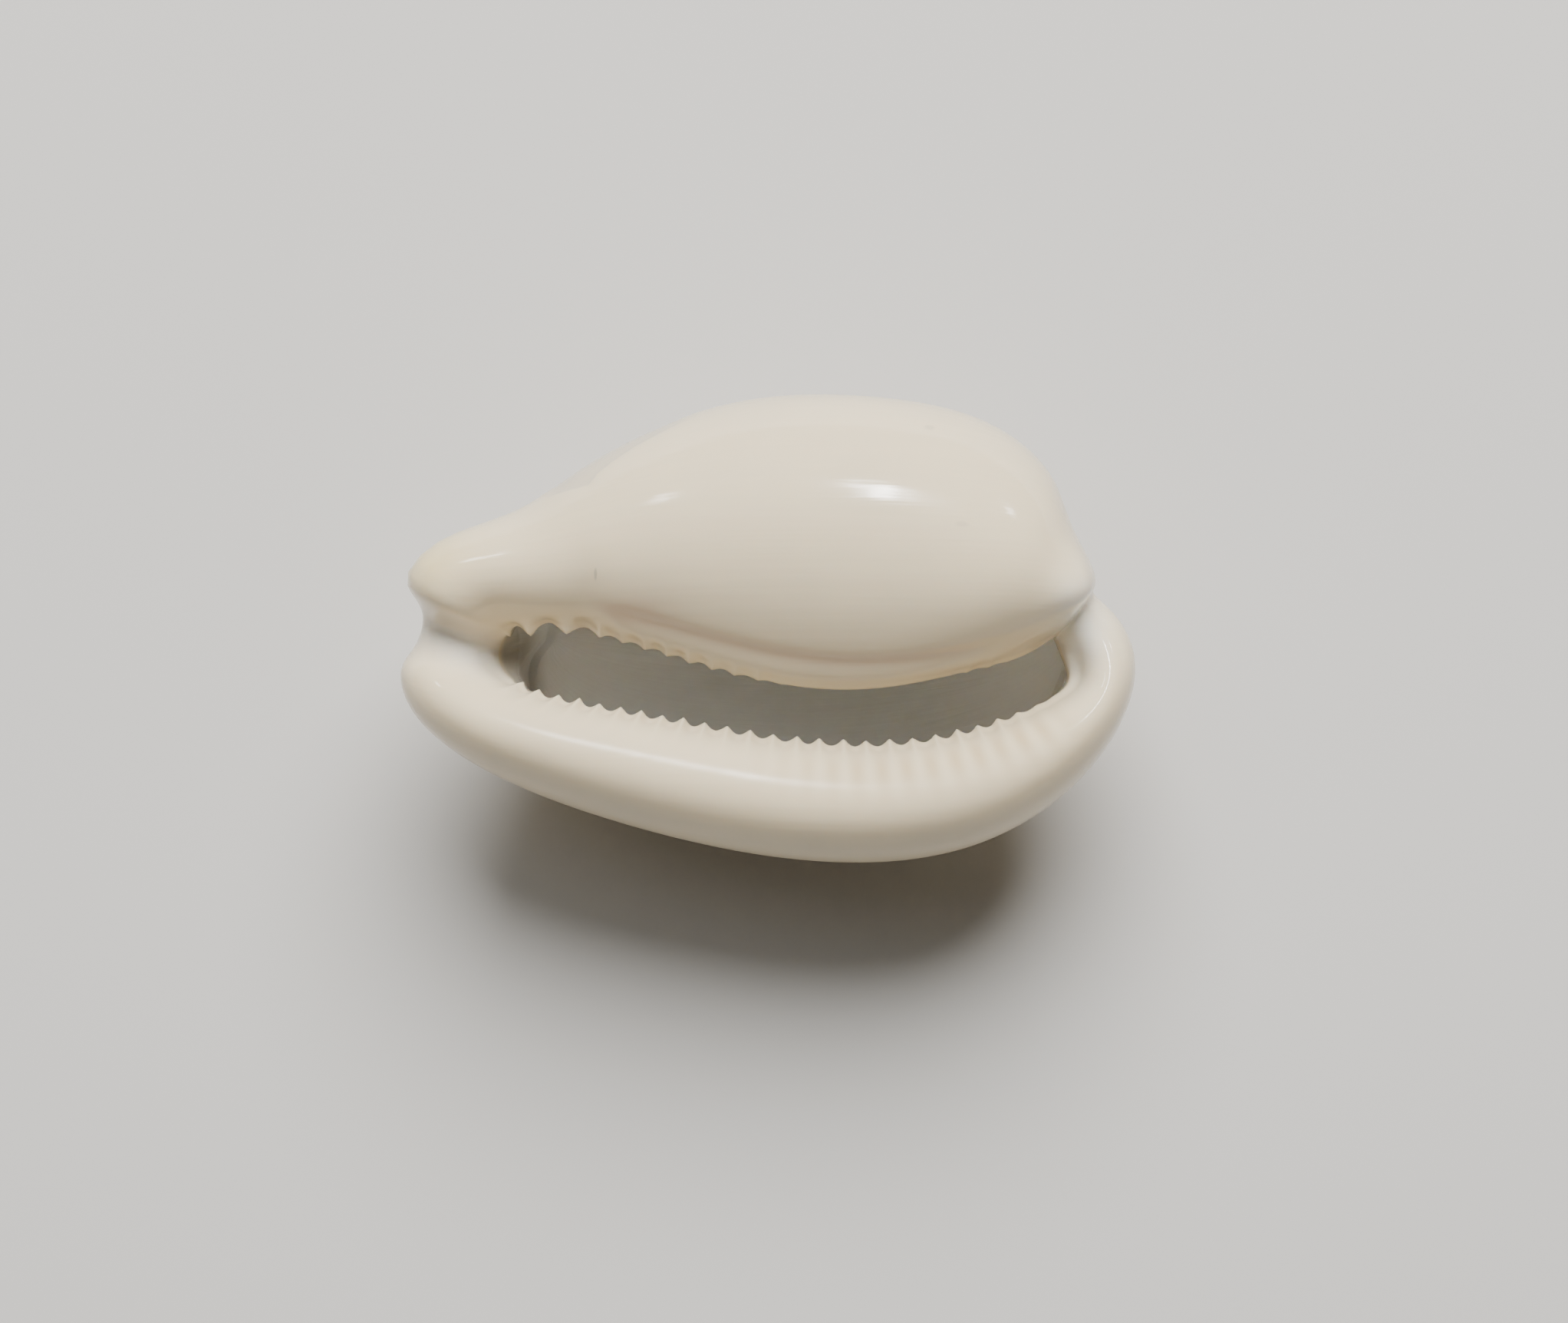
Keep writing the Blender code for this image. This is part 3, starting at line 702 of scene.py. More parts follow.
@dataclass
class ShellTints:
    """Masks of the places where the enamel has another colour, some of them painted shade and painted
    light. Sizes are in millimetres.
    """

    relief: ShellRelief
    crease: Ridge = Ridge(1.0, 5.0, 1.15)                      # across the crease, where shade is painted
    painted_crease_shade_row: Swath = Swath(1.0, back=(28.0, 18.0), front=(-22.0, -17.0))
    painted_crease_shade_end: Spot = Spot(0.7, -15.5, 7.8, 4.0, 2.0)
    beak: Spot = Spot(1.0, -42.0, 15.0, 5.0, 4.5)              # warm tip of the body whorl
    beak_bottom: float = -8.0                                  # lowest w of that tint
    painted_light_trace: Trace = ((-42.0, 5.2), (-31.0, 1.2))         # floor of the front canal, painted lighter against its shade
    painted_light_front: Spot = Spot(1.0, -37.0, 0.0, 7.0, 2.4)       # with v measured off that line
    painted_light_back: Spot = Spot(1.0, 38.0, 5.0, 3.2, 5.5)         # floor of the back canal, painted lighter against its shade
    painted_shade_trace: Trace = ((-43.0, 7.9), (-32.0, 3.9))          # shaded side of the front canal, where shade is painted
    painted_shade_front: Ridge = Ridge(1.0, 0.0, 1.5)                  # across that line
    painted_shade_ends: tuple[float, float] = (-30.5, -33.0)           # x where it starts and is whole
    painted_shade_bottom: float = -9.0                                 # lowest w of that tint
    # painted shade at the back end of the slit
    painted_shade_back: Spot = Spot(0.6, 35.9, 1.6, 0.9, 2.8)
    glow: Ridge = Ridge(1.0, 5.5, 3.0)                         # along the valleys of the ribs
    glow_row: Swath = Swath(1.0, back=(36.0, 31.0), front=(-6.0, 14.0))
    slit_trace: Trace = ((-34.0, 2.0), (-20.0, 0.5), (0.0, -4.5), (20.0, -5.0), (34.0, 0.5))
    satin_edge: tuple[float, float] = (1.0, -1.0)              # off the slit's middle line
    satin_row: Swath = Swath(1.0, back=(36.0, 27.0), front=(-38.0, -28.0))
    bare_fade: tuple[float, float] = (9.0, 0.0)                # past the margin
    inside_fade: tuple[float, float] = (0.5, -5.0)             # from the rim
    ramp_shade_ends: tuple[float, float] = (-27.0, -30.5)            # x where the painted shade on the slope starts
    ramp_shade_fade: tuple[float, float] = (0.2, -1.2)               # from the rim, where the painted shade starts and is whole

    def masks(self, points: Array, away: Array) -> dict[str, Array]:
        """The masks at each point of the grid.

        Args:
            points: The grid's points.
            away: How far each is from the rim.

        Returns:
            The masks by their attributes' names.
        """
        relief = self.relief
        x, v, w = np.moveaxis(points, -1, 0)
        number, on_outer, on_body = relief.rows()
        rim_x = relief.form.stations("rim", relief.form.where)[:, :1]
        # painted shade in the crease and in a wider patch above its front end
        crease = self.crease.at(away) * self.painted_crease_shade_row.at(rim_x) * on_body
        crease = crease + self.painted_crease_shade_end.at(x, v) * (away > 0)
        # painted light that lightens the shaded floors of the front and back canals
        painted_canal_light = self.painted_light_front.at(x, v - traced(self.painted_light_trace, x))
        painted_canal_light = painted_canal_light + self.painted_light_back.at(x, v)
        # painted shade under the upper beak's edge in the front canal and at the slit's back end
        painted_canal_shade = self.painted_shade_front.at(v - traced(self.painted_shade_trace, x))
        painted_canal_shade = painted_canal_shade * smooth_step(*self.painted_shade_ends, x) * (w > self.painted_shade_bottom)
        painted_canal_shade = painted_canal_shade + self.painted_shade_back.at(x, v)
        valley = np.sin(math.pi * number) ** 2 * on_outer
        satin = smooth_step(*self.satin_edge, v - traced(self.slit_trace, x))
        return {
            "crease": np.clip(crease, 0.0, 1.0),
            "warm": self.beak.at(x, v) * (w > self.beak_bottom),
            "painted_canal_light": np.clip(painted_canal_light, 0.0, 1.0) * (away > 0),
            "painted_canal_shade": np.clip(painted_canal_shade, 0.0, 1.0),
            "rib_glow": valley * self.glow.at(away) * self.glow_row.at(rim_x),
            "callus": relief.callus(points, away),
            "bare": relief.bare(points, away, self.bare_fade),
            "depth_in": smooth_step(*self.inside_fade, away),
            # painted shade that darkens the lit slope at the mouth's front end
            "painted_ramp_shade": smooth_step(*self.ramp_shade_ends, x) * smooth_step(*self.ramp_shade_fade, away),
            "satin": satin * self.satin_row.at(x),
        }


def grid_normals(grid: Array) -> Array:
    """Unit normals of a grid of columns by rings that closes round the columns."""
    round_mouth = np.roll(grid, -1, axis=0) - np.roll(grid, 1, axis=0)
    return unit(np.cross(round_mouth, np.gradient(grid, axis=1)))


@dataclass
class Wiring:
    """Adds and joins the nodes of one tree."""

    tree: bpy.types.NodeTree

    def feed(self, socket: bpy.types.NodeSocket, value: object) -> None:
        """Joins a socket to another one, or sets its value.

        Args:
            socket: The socket that takes it.
            value: The other socket, or the value.
        """
        if isinstance(value, bpy.types.NodeSocket):
            self.tree.links.new(value, socket)
        else:
            socket.default_value = value

    def add(
        self, kind: str, inputs: dict[str | int, object] | None = None, **settings: object
    ) -> bpy.types.Node:
        """Adds a node.

        Args:
            kind: The node's type name.
            inputs: What goes into its sockets, by name or number.
            settings: Its other properties.

        Returns:
            The node.
        """
        node = self.tree.nodes.new(kind)
        for name, value in settings.items():
            setattr(node, name, value)
        for name, value in (inputs or {}).items():
            self.feed(node.inputs[name], value)
        return node

    def math(self, operation: str, *values: object) -> bpy.types.NodeSocket:
        """Works out numbers with a Math node."""
        node = self.add("ShaderNodeMath", dict(enumerate(values)), operation=operation)
        return node.outputs[0]

    def step(
        self, value: object, low: float, high: float, top: float = 1.0
    ) -> bpy.types.NodeSocket:
        """Smooth rise from 0 at low to top at high."""
        inputs = {"Value": value, "From Min": low, "From Max": high, "To Min": 0.0, "To Max": top}
        node = self.add("ShaderNodeMapRange", inputs, interpolation_type="SMOOTHSTEP")
        return node.outputs[0]

    def mix(self, share: object, first: object, second: object) -> bpy.types.NodeSocket:
        """Mixes two colours."""
        node = self.add("ShaderNodeMix", {0: share, 6: first, 7: second}, data_type="RGBA")
        return node.outputs[2]

    def attribute(self, name: str) -> bpy.types.NodeSocket:
        """Reads one of the mesh's own attributes in a material."""
        return self.add("ShaderNodeAttribute", attribute_name=name).outputs["Fac"]

    def group(self, tree: bpy.types.NodeTree, inputs: dict[str, object]) -> bpy.types.Node:
        """Places a shader node group.

        Args:
            tree: The group.
            inputs: What goes into its sockets, by name.

        Returns:
            The node.
        """
        node = self.add("ShaderNodeGroup", node_tree=tree)
        for name, value in inputs.items():
            self.feed(node.inputs[name], value)
        return node


def solid_colour(colour: Colour) -> tuple[float, float, float, float]:
    """A colour as a socket takes it."""
    return (*colour, 1.0)


def new_group(
    name: str, kind: str, inputs: dict[str, tuple], outputs: dict[str, str]
) -> tuple[Wiring, bpy.types.Node, bpy.types.Node]:
    """Starts a node group.

    Args:
        name: The group's name.
        kind: The tree's type name.
        inputs: Each input's socket type and its first value, or None for no value.
        outputs: Each output's socket type.

    Returns:
        The group's wiring and its input and output nodes.
    """
    tree = bpy.data.node_groups.new(name, kind)
    for label, (socket_type, value) in inputs.items():
        socket = tree.interface.new_socket(label, in_out="INPUT", socket_type=socket_type)
        if value is not None:
            socket.default_value = value
    for label, socket_type in outputs.items():
        tree.interface.new_socket(label, in_out="OUTPUT", socket_type=socket_type)
    wiring = Wiring(tree)
    return wiring, wiring.add("NodeGroupInput"), wiring.add("NodeGroupOutput")


def cloud_group() -> bpy.types.NodeTree:
    """Builds soft clouds of a second colour, as in thick enamel, with their height."""
    wiring, given, put = new_group(
        "enamel_clouds",
        "ShaderNodeTree",
        {
            "Base": ("NodeSocketColor", None),
            "Cloud": ("NodeSocketColor", None),
            "Amount": ("NodeSocketFloat", 0.5),
            "Size mm": ("NodeSocketFloat", 12.0),
        },
        {"Color": "NodeSocketColor", "Height": "NodeSocketFloat"},
    )
    thin, thick = 0.35, 0.68
    place = wiring.add("ShaderNodeTexCoord").outputs["Object"]
    scale = wiring.math("DIVIDE", 1 / MM, given.outputs["Size mm"])
    noise = wiring.add("ShaderNodeTexNoise", {"Vector": place, "Scale": scale, "Detail": 3.0})
    cloud = wiring.step(noise.outputs[0], thin, thick)
    share = wiring.math("MULTIPLY", cloud, given.outputs["Amount"])
    colour = wiring.mix(share, given.outputs["Base"], given.outputs["Cloud"])
    wiring.feed(put.inputs["Color"], colour)
    wiring.feed(put.inputs["Height"], noise.outputs[0])
    return wiring.tree


def growth_group() -> bpy.types.NodeTree:
    """Builds fine growth lines that run along the shell, from the attribute growth."""
    wiring, given, put = new_group(
        "growth_lines",
        "ShaderNodeTree",
        {"Width mm": ("NodeSocketFloat", 0.6), "Wander mm": ("NodeSocketFloat", 25.0)},
        {"Lines": "NodeSocketFloat"},
    )
    faint, clear = 0.3, 0.7
    place = wiring.add("ShaderNodeTexCoord").outputs["Object"]
    along = wiring.add("ShaderNodeSeparateXYZ", {0: place}).outputs["X"]
    long_way = wiring.math("DIVIDE", wiring.math("DIVIDE", along, MM), given.outputs["Wander mm"])
    short_way = wiring.math("DIVIDE", wiring.attribute("growth"), given.outputs["Width mm"])
    vector = wiring.add("ShaderNodeCombineXYZ", {"X": long_way, "Y": short_way})
    noise = wiring.add(
        "ShaderNodeTexNoise",
        {"Vector": vector.outputs[0], "Scale": 1.0, "Detail": 2.0, "Roughness": 0.6},
        noise_dimensions="2D",
    )
    wiring.feed(put.inputs["Lines"], wiring.step(noise.outputs[0], faint, clear))
    return wiring.tree


def mark_group() -> bpy.types.NodeTree:
    """Builds a small soft-edged mark at one place."""
    wiring, given, put = new_group(
        "small_mark",
        "ShaderNodeTree",
        {
            "Centre": ("NodeSocketVector", None),
            "Size": ("NodeSocketVector", None),
            "Strength": ("NodeSocketFloat", 0.5),
        },
        {"Mask": "NodeSocketFloat"},
    )
    grain, ragged, core = 900.0, 0.7, 0.35
    place = wiring.add("ShaderNodeTexCoord").outputs["Object"]
    far = place
    for operation, name in (("SUBTRACT", "Centre"), ("DIVIDE", "Size")):
        inputs = {0: far, 1: given.outputs[name]}
        far = wiring.add("ShaderNodeVectorMath", inputs, operation=operation).outputs[0]
    far = wiring.add("ShaderNodeVectorMath", {0: far}, operation="LENGTH").outputs["Value"]
    noise = wiring.add("ShaderNodeTexNoise", {"Vector": place, "Scale": grain, "Detail": 2.0})
    far = wiring.math("SUBTRACT", far, ragged * HALF)
    mask = wiring.step(wiring.math("MULTIPLY_ADD", noise.outputs[0], ragged, far), 1.0, core)
    wiring.feed(put.inputs["Mask"], wiring.math("MULTIPLY", mask, given.outputs["Strength"]))
    return wiring.tree


@dataclass(frozen=True)
class Mark:
    """A small mark on the mouth side, by its place and size in shell axes, in millimetres."""

    x: float
    v: float
    width: float
    height: float
    strength: float


@dataclass(frozen=True)
class Tint:
    """A second colour of a finish, and how much of it shows where its attribute is 1."""

    attribute: str
    colour: Colour
    share: float


@dataclass(frozen=True)
class ShellFinish:
    """What the finishes of the shell have in common.

    Clouds of a second colour and fine growth lines lie under the tints, and light sinks in.
    cloud_size, line_width, line_wander and relief are in millimetres and subsurface_scale in
    metres. line_share is how much of the lines' colour shows, and line_gloss and line_relief
    are what the lines add to the roughness and to the relief.
    """

    name: str
    base: Colour
    cloud: Colour
    cloud_share: float
    cloud_size: float
    line: Colour
    line_share: float
    line_width: float
    line_wander: float
    line_gloss: float
    line_relief: float
    relief: float
    roughness: float
    subsurface: float
    subsurface_scale: float
    ior: float
    tints: tuple[Tint, ...]

    def tinted(self, wiring: Wiring, colour: bpy.types.NodeSocket) -> bpy.types.NodeSocket:
        """Lays the tints over a colour.

        Args:
            wiring: The wiring of the material.
            colour: The colour under them.

        Returns:
            The tinted colour.
        """
        for tint in self.tints:
            amount = wiring.math("MULTIPLY", wiring.attribute(tint.attribute), tint.share)
            colour = wiring.mix(amount, colour, solid_colour(tint.colour))
        return colour

    def lined(
        self, wiring: Wiring, colour: bpy.types.NodeSocket, lines: bpy.types.NodeSocket
    ) -> bpy.types.NodeSocket:
        """Lays the growth lines' colour over another one."""
        share = wiring.math("MULTIPLY", lines, self.line_share)
        return wiring.mix(share, colour, solid_colour(self.line))

    def coloured(
        self, wiring: Wiring, colour: bpy.types.NodeSocket, lines: bpy.types.NodeSocket
    ) -> bpy.types.NodeSocket:
        """Lays everything over the clouds, the lines first."""
        return self.tinted(wiring, self.lined(wiring, colour, lines))

    def smoothness(self, wiring: Wiring) -> object:
        """The roughness without the growth lines."""
        return self.roughness

    def build(self, groups: dict[str, bpy.types.NodeTree]) -> bpy.types.Material:
        """Builds the material.

        Args:
            groups: The shared shader node groups, by name.

        Returns:
            The material.
        """
        material = bpy.data.materials.new(self.name)
        material.use_nodes = True
        wiring = Wiring(material.node_tree)
        clouds = wiring.group(groups["clouds"], {
            "Base": solid_colour(self.base),
            "Cloud": solid_colour(self.cloud),
            "Amount": self.cloud_share,
            "Size mm": self.cloud_size,
        })
        growth = wiring.group(groups["growth"], {
            "Width mm": self.line_width,
            "Wander mm": self.line_wander,
        })
        lines = growth.outputs["Lines"]
        height = wiring.math("MULTIPLY_ADD", lines, self.line_relief, clouds.outputs["Height"])
        bump = wiring.add(
            "ShaderNodeBump",
            {"Height": height, "Strength": 1.0, "Distance": self.relief * MM},
        )
        rough = wiring.math("MULTIPLY_ADD", lines, self.line_gloss, self.smoothness(wiring))
        shader = material.node_tree.nodes["Principled BSDF"]
        for name, value in {
            "Base Color": self.coloured(wiring, clouds.outputs["Color"], lines),
            "Roughness": rough,
            "Normal": bump.outputs[0],
            "IOR": self.ior,
            "Subsurface Weight": self.subsurface,
            "Subsurface Radius": SINK_RADIUS,
            "Subsurface Scale": self.subsurface_scale,
        }.items():
            wiring.feed(shader.inputs[name], value)
        return material


@dataclass(frozen=True)
class OuterEnamel(ShellFinish):
    """Thick glossy enamel, warm white with faint tints, painted shade in its crease, front canal and
    mouth's front slope, painted light on its canal floors, and a few small marks.

    places are where the marks lie, in world metres.
    """

    name: str = "shell_enamel"
    base: Colour = (0.88, 0.75, 0.52)
    cloud: Colour = (0.83, 0.71, 0.50)
    cloud_share: float = 0.7
    cloud_size: float = 14.0
    line: Colour = BARE_SHELL
    line_share: float = 0.05
    line_width: float = 0.8
    line_wander: float = 30.0
    line_gloss: float = 0.04
    line_relief: float = 0.15
    relief: float = 0.05
    roughness: float = 0.11
    subsurface: float = 0.28
    subsurface_scale: float = 0.002
    ior: float = 1.6
    tints: tuple[Tint, ...] = (
        Tint("rib_glow", (0.70, 0.56, 0.34), 0.85),
        Tint("warm", (0.86, 0.72, 0.38), 0.85),
        # painted shade in the crease along the body whorl's side of the mouth
        Tint("crease", (0.62, 0.42, 0.31), 0.45),
        # painted light over the shaded floors of the front and back canals
        Tint("painted_canal_light", (0.99, 0.96, 0.88), 1.0),
        # painted shade on the front canal's upper side and at the slit's back end
        Tint("painted_canal_shade", (0.60, 0.49, 0.34), 0.40),
        Tint("depth_in", (0.93, 0.91, 0.86), 1.0),
        # painted shade over the lit slope at the mouth's front end
        Tint("painted_ramp_shade", PAINTED_RAMP_SHADE, 0.85),
    )
    satin_gloss: float = 0.11        # added to the roughness on the outer lip's ribbed face
    bare_share: float = 0.55         # how much of the bare shell's colour shows
    layer_edge: float = 0.12         # half the width of the layer's edge, in millimetres
    mark_colour: Colour = (0.30, 0.27, 0.22)
    mark_depth: float = 3.0          # how far a mark reaches down, in millimetres
    marks: tuple[Mark, ...] = (
        Mark(-20.7, 12.4, 0.25, 0.9, 0.45),
        Mark(20.0, 30.2, 0.9, 0.6, 0.22),
        Mark(23.5, 18.7, 1.1, 0.5, 0.18),
        Mark(16.4, 4.9, 1.2, 0.7, 0.14),
        Mark(12.4, 7.8, 1.0, 0.5, 0.10),
    )
    places: tuple[Vector, ...] = ()
    mark_tree: bpy.types.NodeTree | None = None

    def coloured(
        self, wiring: Wiring, colour: bpy.types.NodeSocket, lines: bpy.types.NodeSocket
    ) -> bpy.types.NodeSocket:
        """Lays the tints, the bare shell, the marks and the lines over the clouds.

        Args:
            wiring: The wiring of the material.
            colour: The clouds' colour.
            lines: The growth lines.

        Returns:
            The whole colour.
        """
        colour = self.tinted(wiring, colour)
        callus, edge = wiring.attribute("callus"), self.layer_edge
        under = wiring.step(callus, -edge, edge, self.bare_share)
        under = wiring.math("MULTIPLY", under, wiring.attribute("bare"))
        colour = wiring.mix(under, colour, solid_colour(BARE_SHELL))
        for mark, place in zip(self.marks, self.places):
            mask = wiring.group(self.mark_tree, {
                "Centre": place,
                "Size": Vector((mark.width, mark.height, self.mark_depth)) * MM,
                "Strength": mark.strength,
            })
            colour = wiring.mix(mask.outputs["Mask"], colour, solid_colour(self.mark_colour))
        return self.lined(wiring, colour, lines)

    def smoothness(self, wiring: Wiring) -> bpy.types.NodeSocket:
        """The roughness without the growth lines, more on the outer lip's ribbed face."""
        satin = wiring.attribute("satin")
        return wiring.math("MULTIPLY_ADD", satin, self.satin_gloss, self.roughness)


@dataclass(frozen=True)
class InnerWall(ShellFinish):
    """Satin wall of the hollow, with growth lines and painted shade on the slope at the mouth's front
    end.
    """

    name: str = "shell_inner_wall"
    base: Colour = (0.97, 0.96, 0.92)
    cloud: Colour = (0.95, 0.94, 0.90)
    cloud_share: float = 0.6
    cloud_size: float = 9.0
    line: Colour = (0.90, 0.88, 0.83)
    line_share: float = 0.12
    line_width: float = 0.7
    line_wander: float = 18.0
    line_gloss: float = 0.08
    line_relief: float = 0.4
    relief: float = 0.06
    roughness: float = 0.34
    subsurface: float = 0.35
    subsurface_scale: float = 0.0035
    ior: float = 1.5
    # painted shade over the lit slope at the mouth's front end
    tints: tuple[Tint, ...] = (Tint("painted_ramp_shade", PAINTED_RAMP_SHADE, 0.85),)


@dataclass(frozen=True)
class TeethTree:
    """Geometry Nodes that raise the teeth and their ribs along the rim."""

    tip: float = 0.12             # how much a tooth's tip is rounded, as a share of it
    height: float = 1.0           # of the teeth, as a share of the attribute tooth_gain
    unevenness: float = 0.14      # how much the teeth's heights differ
    drift: float = 0.10           # how far the teeth stray from their places, in teeth
    drift_pace: float = 0.9       # how fast they stray from tooth to tooth
    seed: int = 7

    def build(self) -> bpy.types.NodeTree:
        """Builds the tree.

        Returns:
            The tree, which ends in Realize Instances and Set Material.
        """
        wiring, given, put = new_group(
            "rim_teeth",
            "GeometryNodeTree",
            {
                "Geometry": ("NodeSocketGeometry", None),
                "Height": ("NodeSocketFloat", self.height),
                "Tip": ("NodeSocketFloat", self.tip),
                "Unevenness": ("NodeSocketFloat", self.unevenness),
                "Drift": ("NodeSocketFloat", self.drift),
                "Seed": ("NodeSocketInt", self.seed),
                "Enamel": ("NodeSocketMaterial", None),
                "Inner wall": ("NodeSocketMaterial", None),
            },
            {"Geometry": "NodeSocketGeometry"},
        )
        read = {
            name: wiring.add("GeometryNodeInputNamedAttribute", {"Name": name}).outputs["Attribute"]
            for name in ("tooth_phase", "tooth_gain", "tooth_level", "inner_wall")
        }
        sway = wiring.add(
            "ShaderNodeTexNoise",
            {"W": read["tooth_phase"], "Scale": self.drift_pace},
            noise_dimensions="1D",
        )
        off = wiring.math("SUBTRACT", sway.outputs[0], HALF)
        off = wiring.math("MULTIPLY", off, given.outputs["Drift"])
        phase = wiring.math("ADD", read["tooth_phase"], off)
        number = wiring.math("ROUND", phase)
        luck = wiring.add(
            "FunctionNodeRandomValue",
            {"Min": -1.0, "Max": 1.0, "ID": number, "Seed": given.outputs["Seed"]},
            data_type="FLOAT",
        )
        change = wiring.math("MULTIPLY_ADD", luck.outputs["Value"], given.outputs["Unevenness"], 1.0)
        wave = wiring.math("SINE", wiring.math("MULTIPLY", phase, math.pi))
        tip = wiring.math("MULTIPLY", given.outputs["Tip"], given.outputs["Tip"])
        square = wiring.math("MULTIPLY_ADD", wave, wave, tip)
        share = wiring.math("DIVIDE", square, wiring.math("ADD", tip, 1.0))
        crest = wiring.math("SUBTRACT", 1.0, wiring.math("SQRT", share))
        height = wiring.math("SUBTRACT", wiring.math("MULTIPLY", crest, change), read["tooth_level"])
        height = wiring.math("MULTIPLY", height, read["tooth_gain"])
        height = wiring.math("MULTIPLY", height, wiring.math("MULTIPLY", given.outputs["Height"], MM))
        normal = wiring.add("GeometryNodeInputNormal").outputs["Normal"]
        offset = wiring.add("ShaderNodeVectorMath", {0: normal, "Scale": height}, operation="SCALE")
        raised = wiring.add(
            "GeometryNodeSetPosition",
            {"Geometry": given.outputs["Geometry"], "Offset": offset.outputs[0]},
        )
        real = wiring.add("GeometryNodeRealizeInstances", {0: raised.outputs[0]})
        all_enamel = wiring.add(
            "GeometryNodeSetMaterial",
            {"Geometry": real.outputs[0], "Material": given.outputs["Enamel"]},
        )
        inner = wiring.math("GREATER_THAN", read["inner_wall"], HALF)
        dressed = wiring.add(
            "GeometryNodeSetMaterial",
            {
                "Geometry": all_enamel.outputs[0],
                "Selection": inner,
                "Material": given.outputs["Inner wall"],
            },
        )
        wiring.feed(put.inputs["Geometry"], dressed.outputs[0])
        return wiring.tree


